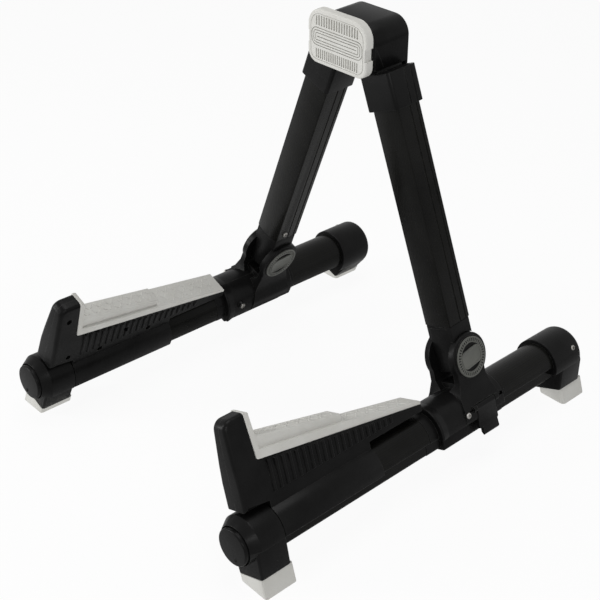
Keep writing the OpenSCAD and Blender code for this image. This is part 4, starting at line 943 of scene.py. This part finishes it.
def makeKnuckle(k):
    front, half, reach = upright["crown"] - k["inset"], k["blade"], k["reach"]
    turn = math.degrees(math.asin(half / front))
    crown = arcPath((0, upright["crown"] - upright["rear"]), front, 270 - turn, 270 + turn, 16)
    crown += [(half, 11), (-half, 11)]
    blade = prism(roundPath(crown, {0: k["corner"], 16: k["corner"], 17: 1, 18: 1}, 6), "top", -14, 24)
    profile = roundPath([(-12, 30), (-12, -reach), (reach, -reach), (reach, 30)], {1: k["radius"], 2: 10}, 10)
    combine(blade, "INTERSECT", prism(profile, "side", -12, 12))
    roundRim(blade, 0.8, 3, "x", lambda m: m.z < -8)
    shoulders = prism(uprightOutline(-k["inset"] - k["fit"], False, k["shoulderCorner"]), "top", 0, k["top"])
    cut(shoulders, rod("X", (0, 0), -20, 20, k["shoulder"], 96))
    roundRim(shoulders, 0.45, 3, "z", lambda m: m.z > k["top"] - 0.01, 0.99)
    inside = uprightOutline(-upright["wall"] - k["fit"], False, upright["innerCorner"])
    unite(blade, shoulders, prism(inside, "top", 20, k["tongue"]))
    cut(blade, rod("X", (0, 0), -20, 20, k["bore"]),
        rod("X", upright["screw"], -15, 0, screwHole["shank"]))
    bothSides(blade, uprightFrame, "knuckle", "moulded", "upright", ["knuckle"])


makeKnuckle(knuckle)

socket = dict(half=13.3, deep=13.2, corner=2.6, low=216, high=240, edge=0.9, shelf=1.8, lugRadius=6.6, lugHalf=6.5,
              pin=2.55, grooveRadius=0.75)


def socketSleeve(s):
    outline = [(-s["half"], -s["deep"]), (s["half"], -s["deep"])] + grooveEdge(s["half"], s["grooveRadius"])
    outline += [(s["half"], s["deep"]), (-s["half"], s["deep"])]
    last = len(outline) - 1
    low, high = ((s[k] - stand["pivotW"]) / math.cos(lean) for k in ("low", "high"))
    obj = prism(roundPath(outline, {k: s["corner"] for k in (0, 1, last - 1, last)}, 6), "top", low, high)
    roundRim(obj, s["edge"], 4, "z")
    shelf = block((-12, -12, high - 1), (2.6, 12, high + s["shelf"]))
    roundEdges(shelf, 0.5, 2, lambda m, a, b: m.z > high + s["shelf"] - 0.1 or min(abs(a.z), abs(b.z)) < 0.1)
    unite(obj, shelf)
    cut(obj, prism(uprightOutline(0.1, False), "top", 150, upright["end"] + 0.3))
    applyPlace(obj, Matrix.Translation((0, pivotY, stand["pivotW"])) @ Matrix.Rotation(lean, 4, "X"))
    return obj


def makeSocket(s):
    obj = socketSleeve(s)
    rise, y0, y1, reach = stand["hingeRise"], headY - s["lugHalf"], headY + s["lugHalf"], s["lugRadius"] - 0.1
    u, w = reach * math.cos(splay), rise - reach * math.sin(splay)
    low = (u - 20 * math.sin(splay), w - 20 * math.cos(splay))
    neck = prism([(-6.5, rise - 25), (-6.5, rise), (u, w), low, (low[0], s["high"] - 2)], "front",
                 y0 + 0.2, y1 - 0.2)
    roundRim(neck, 0.6, 3, "y", lambda m: m.z > s["high"] + 1)
    lug = turnedRounded(discProfile(s["lugRadius"], y0, y1), {1: 0.6, 2: 0.6}, "Y", (0, rise), 64, 3)
    unite(obj, neck, lug)
    cut(obj, rod("Y", (0, rise), headY - 30, headY + 30, s["pin"]))
    bothSides(obj, sideFrame, "topSocket", "moulded", "upright", ["top_socket"])


makeSocket(socket)

head = dict(half=25.6, top=9.8, low=21.8, sideLow=18.4, topRadius=12, lowRadius=6, bodyCorner=1.5, wall=2.5,
            front=-15.5, rear=15.5, cover=3.2, tabEnd=-8.1, tabProud=0.12, seam=0.12, edge=1.8, coverEdge=0.6,
            boss=3.4, pinBoss=4.9, pinBossGap=6.8, screws=(2.6, -13), screwSunk=1.9, screwWell=2.3)


def headOutline(margin=0, low=None, corner=head["bodyCorner"]):
    h = head
    path = boxPath(h["half"] - margin, -h["low"] if low is None else -low, h["top"] - margin)
    return roundPath(path, {0: corner, 1: corner, 2: h["topRadius"] - margin, 3: h["topRadius"] - margin}, 12)


def tabProfile(h, grow=0):  # side view of the cover's tab
    front, rear, low = h["front"] - 0.6, h["tabEnd"] + grow, -h["sideLow"] - grow * 8
    return [(front, grow - 2), (front, low), (rear, low), (rear, 1 - h["sideLow"]), (h["front"] + grow, grow - 2)]


def levelRod(x, z, y0, y1, radius):  # a bar along the stand, in the tilted head's frame
    bar = rod("Y", (x, z), y0, y1, radius)
    applyPlace(bar, Matrix.Rotation(-lean, 4, "X"))
    return bar


def finishHead(obj, name, finish, nodes, smooth=32):
    applyPlace(obj, headFrame)
    finishPiece(obj, name, finish, "head", nodes, smooth)
    print(name, "made,", len(obj.data.polygons), "faces")


def makeHeadCover(h):
    half, front = h["half"], h["front"]
    obj = prism(headOutline(corner=h["lowRadius"]), "front", front - h["cover"], front)
    roundRim(obj, h["coverEdge"], 3, "y")
    tools = []
    for s in (-1, 1):
        tab = prism(tabProfile(h), "side", s * (half - 1.2), s * (half + h["tabProud"]))
        roundRim(tab, 0.3, 2, "x", lambda m: abs(m.x) > half + 0.01 and m.y > front)
        tools += [tab, levelRod(s * stand["hingeX"], 0, front - 1, -h["pinBossGap"], h["pinBoss"])]
    tools += [levelRod(0, z, front - 1, 0, h["boss"]) for z in h["screws"]]
    unite(obj, *tools)
    finishHead(obj, "headCover", "moulded", ["head_cover"])


makeHeadCover(head)


def makeHeadBody(h):
    half, front, rear, seam = h["half"], h["front"], h["rear"], h["seam"]
    obj = prism(headOutline(), "front", front + seam, rear)
    roundRim(obj, h["edge"], 6, "y", lambda m: m.y > rear - 0.01)
    roundRim(obj, 0.3, 2, "y", lambda m: m.y < front + seam + 0.01)
    cavity = prism(headOutline(h["wall"], h["low"] + 20), "front", front - 5, rear - h["wall"])
    cut(obj, cavity, block((-30, front - 5, -60), (30, rear - h["wall"], -h["sideLow"])))
    for s in (-1, 1):
        cut(obj, prism(tabProfile(h, seam), "side", s * (half - 1.3), s * (half + 2)))
    tools = [levelRod(s * stand["hingeX"], 0, h["pinBossGap"], rear - 1, h["pinBoss"]) for s in (-1, 1)]
    tools += [levelRod(0, z, 0.1, rear - 1, h["boss"]) for z in h["screws"]]
    unite(obj, *tools)
    wells = [levelRod(0, z, rear - h["screwSunk"], rear + 4, h["screwWell"]) for z in h["screws"]]
    cut(obj, *wells)
    finishHead(obj, "headBody", "moulded", ["head_body"])


makeHeadBody(head)

headPad = dict(half=26.1, top=14.2, low=22.3, topRadius=11.6, lowRadius=8, front=-24.75, back=-18.78, edge=1.5,
               grooveDepth=1.0, slotEdge=0.2, slotPart=0.28, slotMargin=7, notch=(-9.8, -1.5), notchDepth=1.4,
               upper=dict(count=17, low=3.4, high=13), lower=dict(count=20, low=-21, high=-12.0),
               rings=3, ringHalf=22.6, ringHigh=6.2, ringCorner=4.6, ringStep=1.75, ringWidth=0.7, lineHigh=0.35,
               field=2.7, rimWidth=0.5, rimDepth=0.45, fieldGap=0.7)


def padOutline(p, margin=0, steps=10):
    low, high = p["lowRadius"] - margin, p["topRadius"] - margin
    box = boxPath(p["half"] - margin, margin - p["low"], p["top"] - margin)
    return roundPath(box, {0: low, 1: low, 2: high, 3: high}, steps)


def cutRings(obj, p, floor):  # grooves one inside another, round a straight one
    middle, front = (p["top"] - p["low"]) / 2, p["front"]

    def oblong(less, start, end):
        high = p["ringHigh"] - less
        box = boxPath(p["ringHalf"] - less, middle - high, middle + high)
        return prism(roundPath(box, max(0.3, p["ringCorner"] - less), 8), "front", start, end)
    for k in range(p["rings"]):
        less = k * p["ringStep"]
        ring = oblong(less, front - 3, floor)
        cut(ring, oblong(less + p["ringWidth"], front - 4, floor + 1))
        cut(obj, ring)
    box = boxPath(p["ringHalf"] - p["rings"] * p["ringStep"], middle - p["lineHigh"], middle + p["lineHigh"])
    cut(obj, prism(roundPath(box, 0.3, 8), "front", front - 3, floor))


def slotComb(p, floor):  # the two rows of upright slots, kept inside the rim
    slots = []
    for band in (p["upper"], p["lower"]):
        pitch = (2 * p["half"] - 2 * p["slotMargin"]) / band["count"]
        reach = pitch * p["slotPart"]
        for i in range(band["count"]):
            x = (i - (band["count"] - 1) / 2) * pitch
            slots.append(block((x - reach, p["front"] - 3, band["low"]), (x + reach, floor, band["high"])))
    comb = joined(slots)
    field = padOutline(p, p["field"] + p["rimWidth"] + p["fieldGap"])
    return combine(comb, "INTERSECT", prism(field, "front", p["front"] - 3, floor))


def makeHeadPad(p):
    front, (low, high), deep = p["front"], p["notch"], p["notchDepth"]
    floor = front + p["grooveDepth"]
    obj = prism(padOutline(p, steps=14), "front", front, p["back"])
    for side in (-p["half"], p["half"]):
        cut(obj, block((side - deep, -40, low), (side + deep, 0, high)))
    roundRim(obj, p["edge"], 5, "y", lambda m: m.y < front + 0.01 and not low - 0.1 < m.z < high + 0.1)
    cutRings(obj, p, floor)
    rim = prism(padOutline(p, p["field"]), "front", front - 3, front + p["rimDepth"])
    cut(rim, prism(padOutline(p, p["field"] + p["rimWidth"]), "front", front - 4, front + 2))
    cut(obj, rim, slotComb(p, floor))
    roundEdges(obj, p["slotEdge"], 2, lambda m, a, b: abs(m.y - front) < 0.01 and (a.y < -0.9) != (b.y < -0.9))
    finishHead(obj, "headPad", "rubber", ["head_pad"], 28)


makeHeadPad(headPad)

screwHead = dict(radius=2.1, height=1.3, crown=0.5, shank=1.2, recess=(0.34, 1.25, 0.75))


def screwPiece(axis, centre, top, sign, length):  # sign is the way that the head faces along its axis
    s = screwHead
    under, tip = top - sign * s["height"], top - sign * length
    profile = [(0, top), (s["radius"] - s["crown"], top), (s["radius"], top - sign * s["crown"]),
               (s["radius"], under), (s["shank"], under), (s["shank"], tip), (0, tip)]
    obj = turnedRounded(profile, {1: 0.5, 2: 0.35}, axis, centre, 28, 4)
    half, reach, depth = s["recess"]
    a, b = sorted((top - sign * depth, top + sign))
    place = planes["side" if axis == "X" else "front"]
    for p, q in ((half, reach), (reach, half)):
        low, high = place(centre[0] - p, centre[1] - q, a), place(centre[0] + p, centre[1] + q, b)
        cut(obj, block(low, high))
    return obj


def makeScrews():
    outer, inner = (clevis[k] for k in ("outerScrew", "innerScrew"))
    caps = [screwPiece("X", frontCap["screw"], -12.3, -1, 4.4), screwPiece("X", rearCap["screw"], 18.2, 1, 4.4)]
    bothSides(joined(caps), legFrame, "capScrews", "bright_screw", "leg", ["cap_screws"])
    closing = [screwPiece("X", p, -4.3, -1, 6.8) for p in cradle["screws"]]
    bothSides(joined(closing), legFrame, "cradleScrews", "plain_steel", "leg", ["cradle_screws"])
    tension = [screwPiece("X", outer, clevis["flank"] + 1.3, 1, 4),
               screwPiece("X", inner, -clevis["radius"] - 1, -1, 3.6)]
    bothSides(joined(tension), legFrame, "tensionScrews", "bright_screw", "clevis", ["clevis_screws"])
    tubeScrew = screwPiece("X", upright["screw"], -upright["half"] - 1.3, -1, 5)
    bothSides(tubeScrew, uprightFrame, "uprightScrew", "bright_screw", "upright", ["upright_screw"])
    rear = joined([screwPiece("Y", (0, z), head["rear"] - 0.6, 1, 8) for z in head["screws"]])
    applyPlace(rear, Matrix.Rotation(-lean, 4, "X"))
    finishHead(rear, "headScrews", "bright_screw", ["head_screws"])


makeScrews()
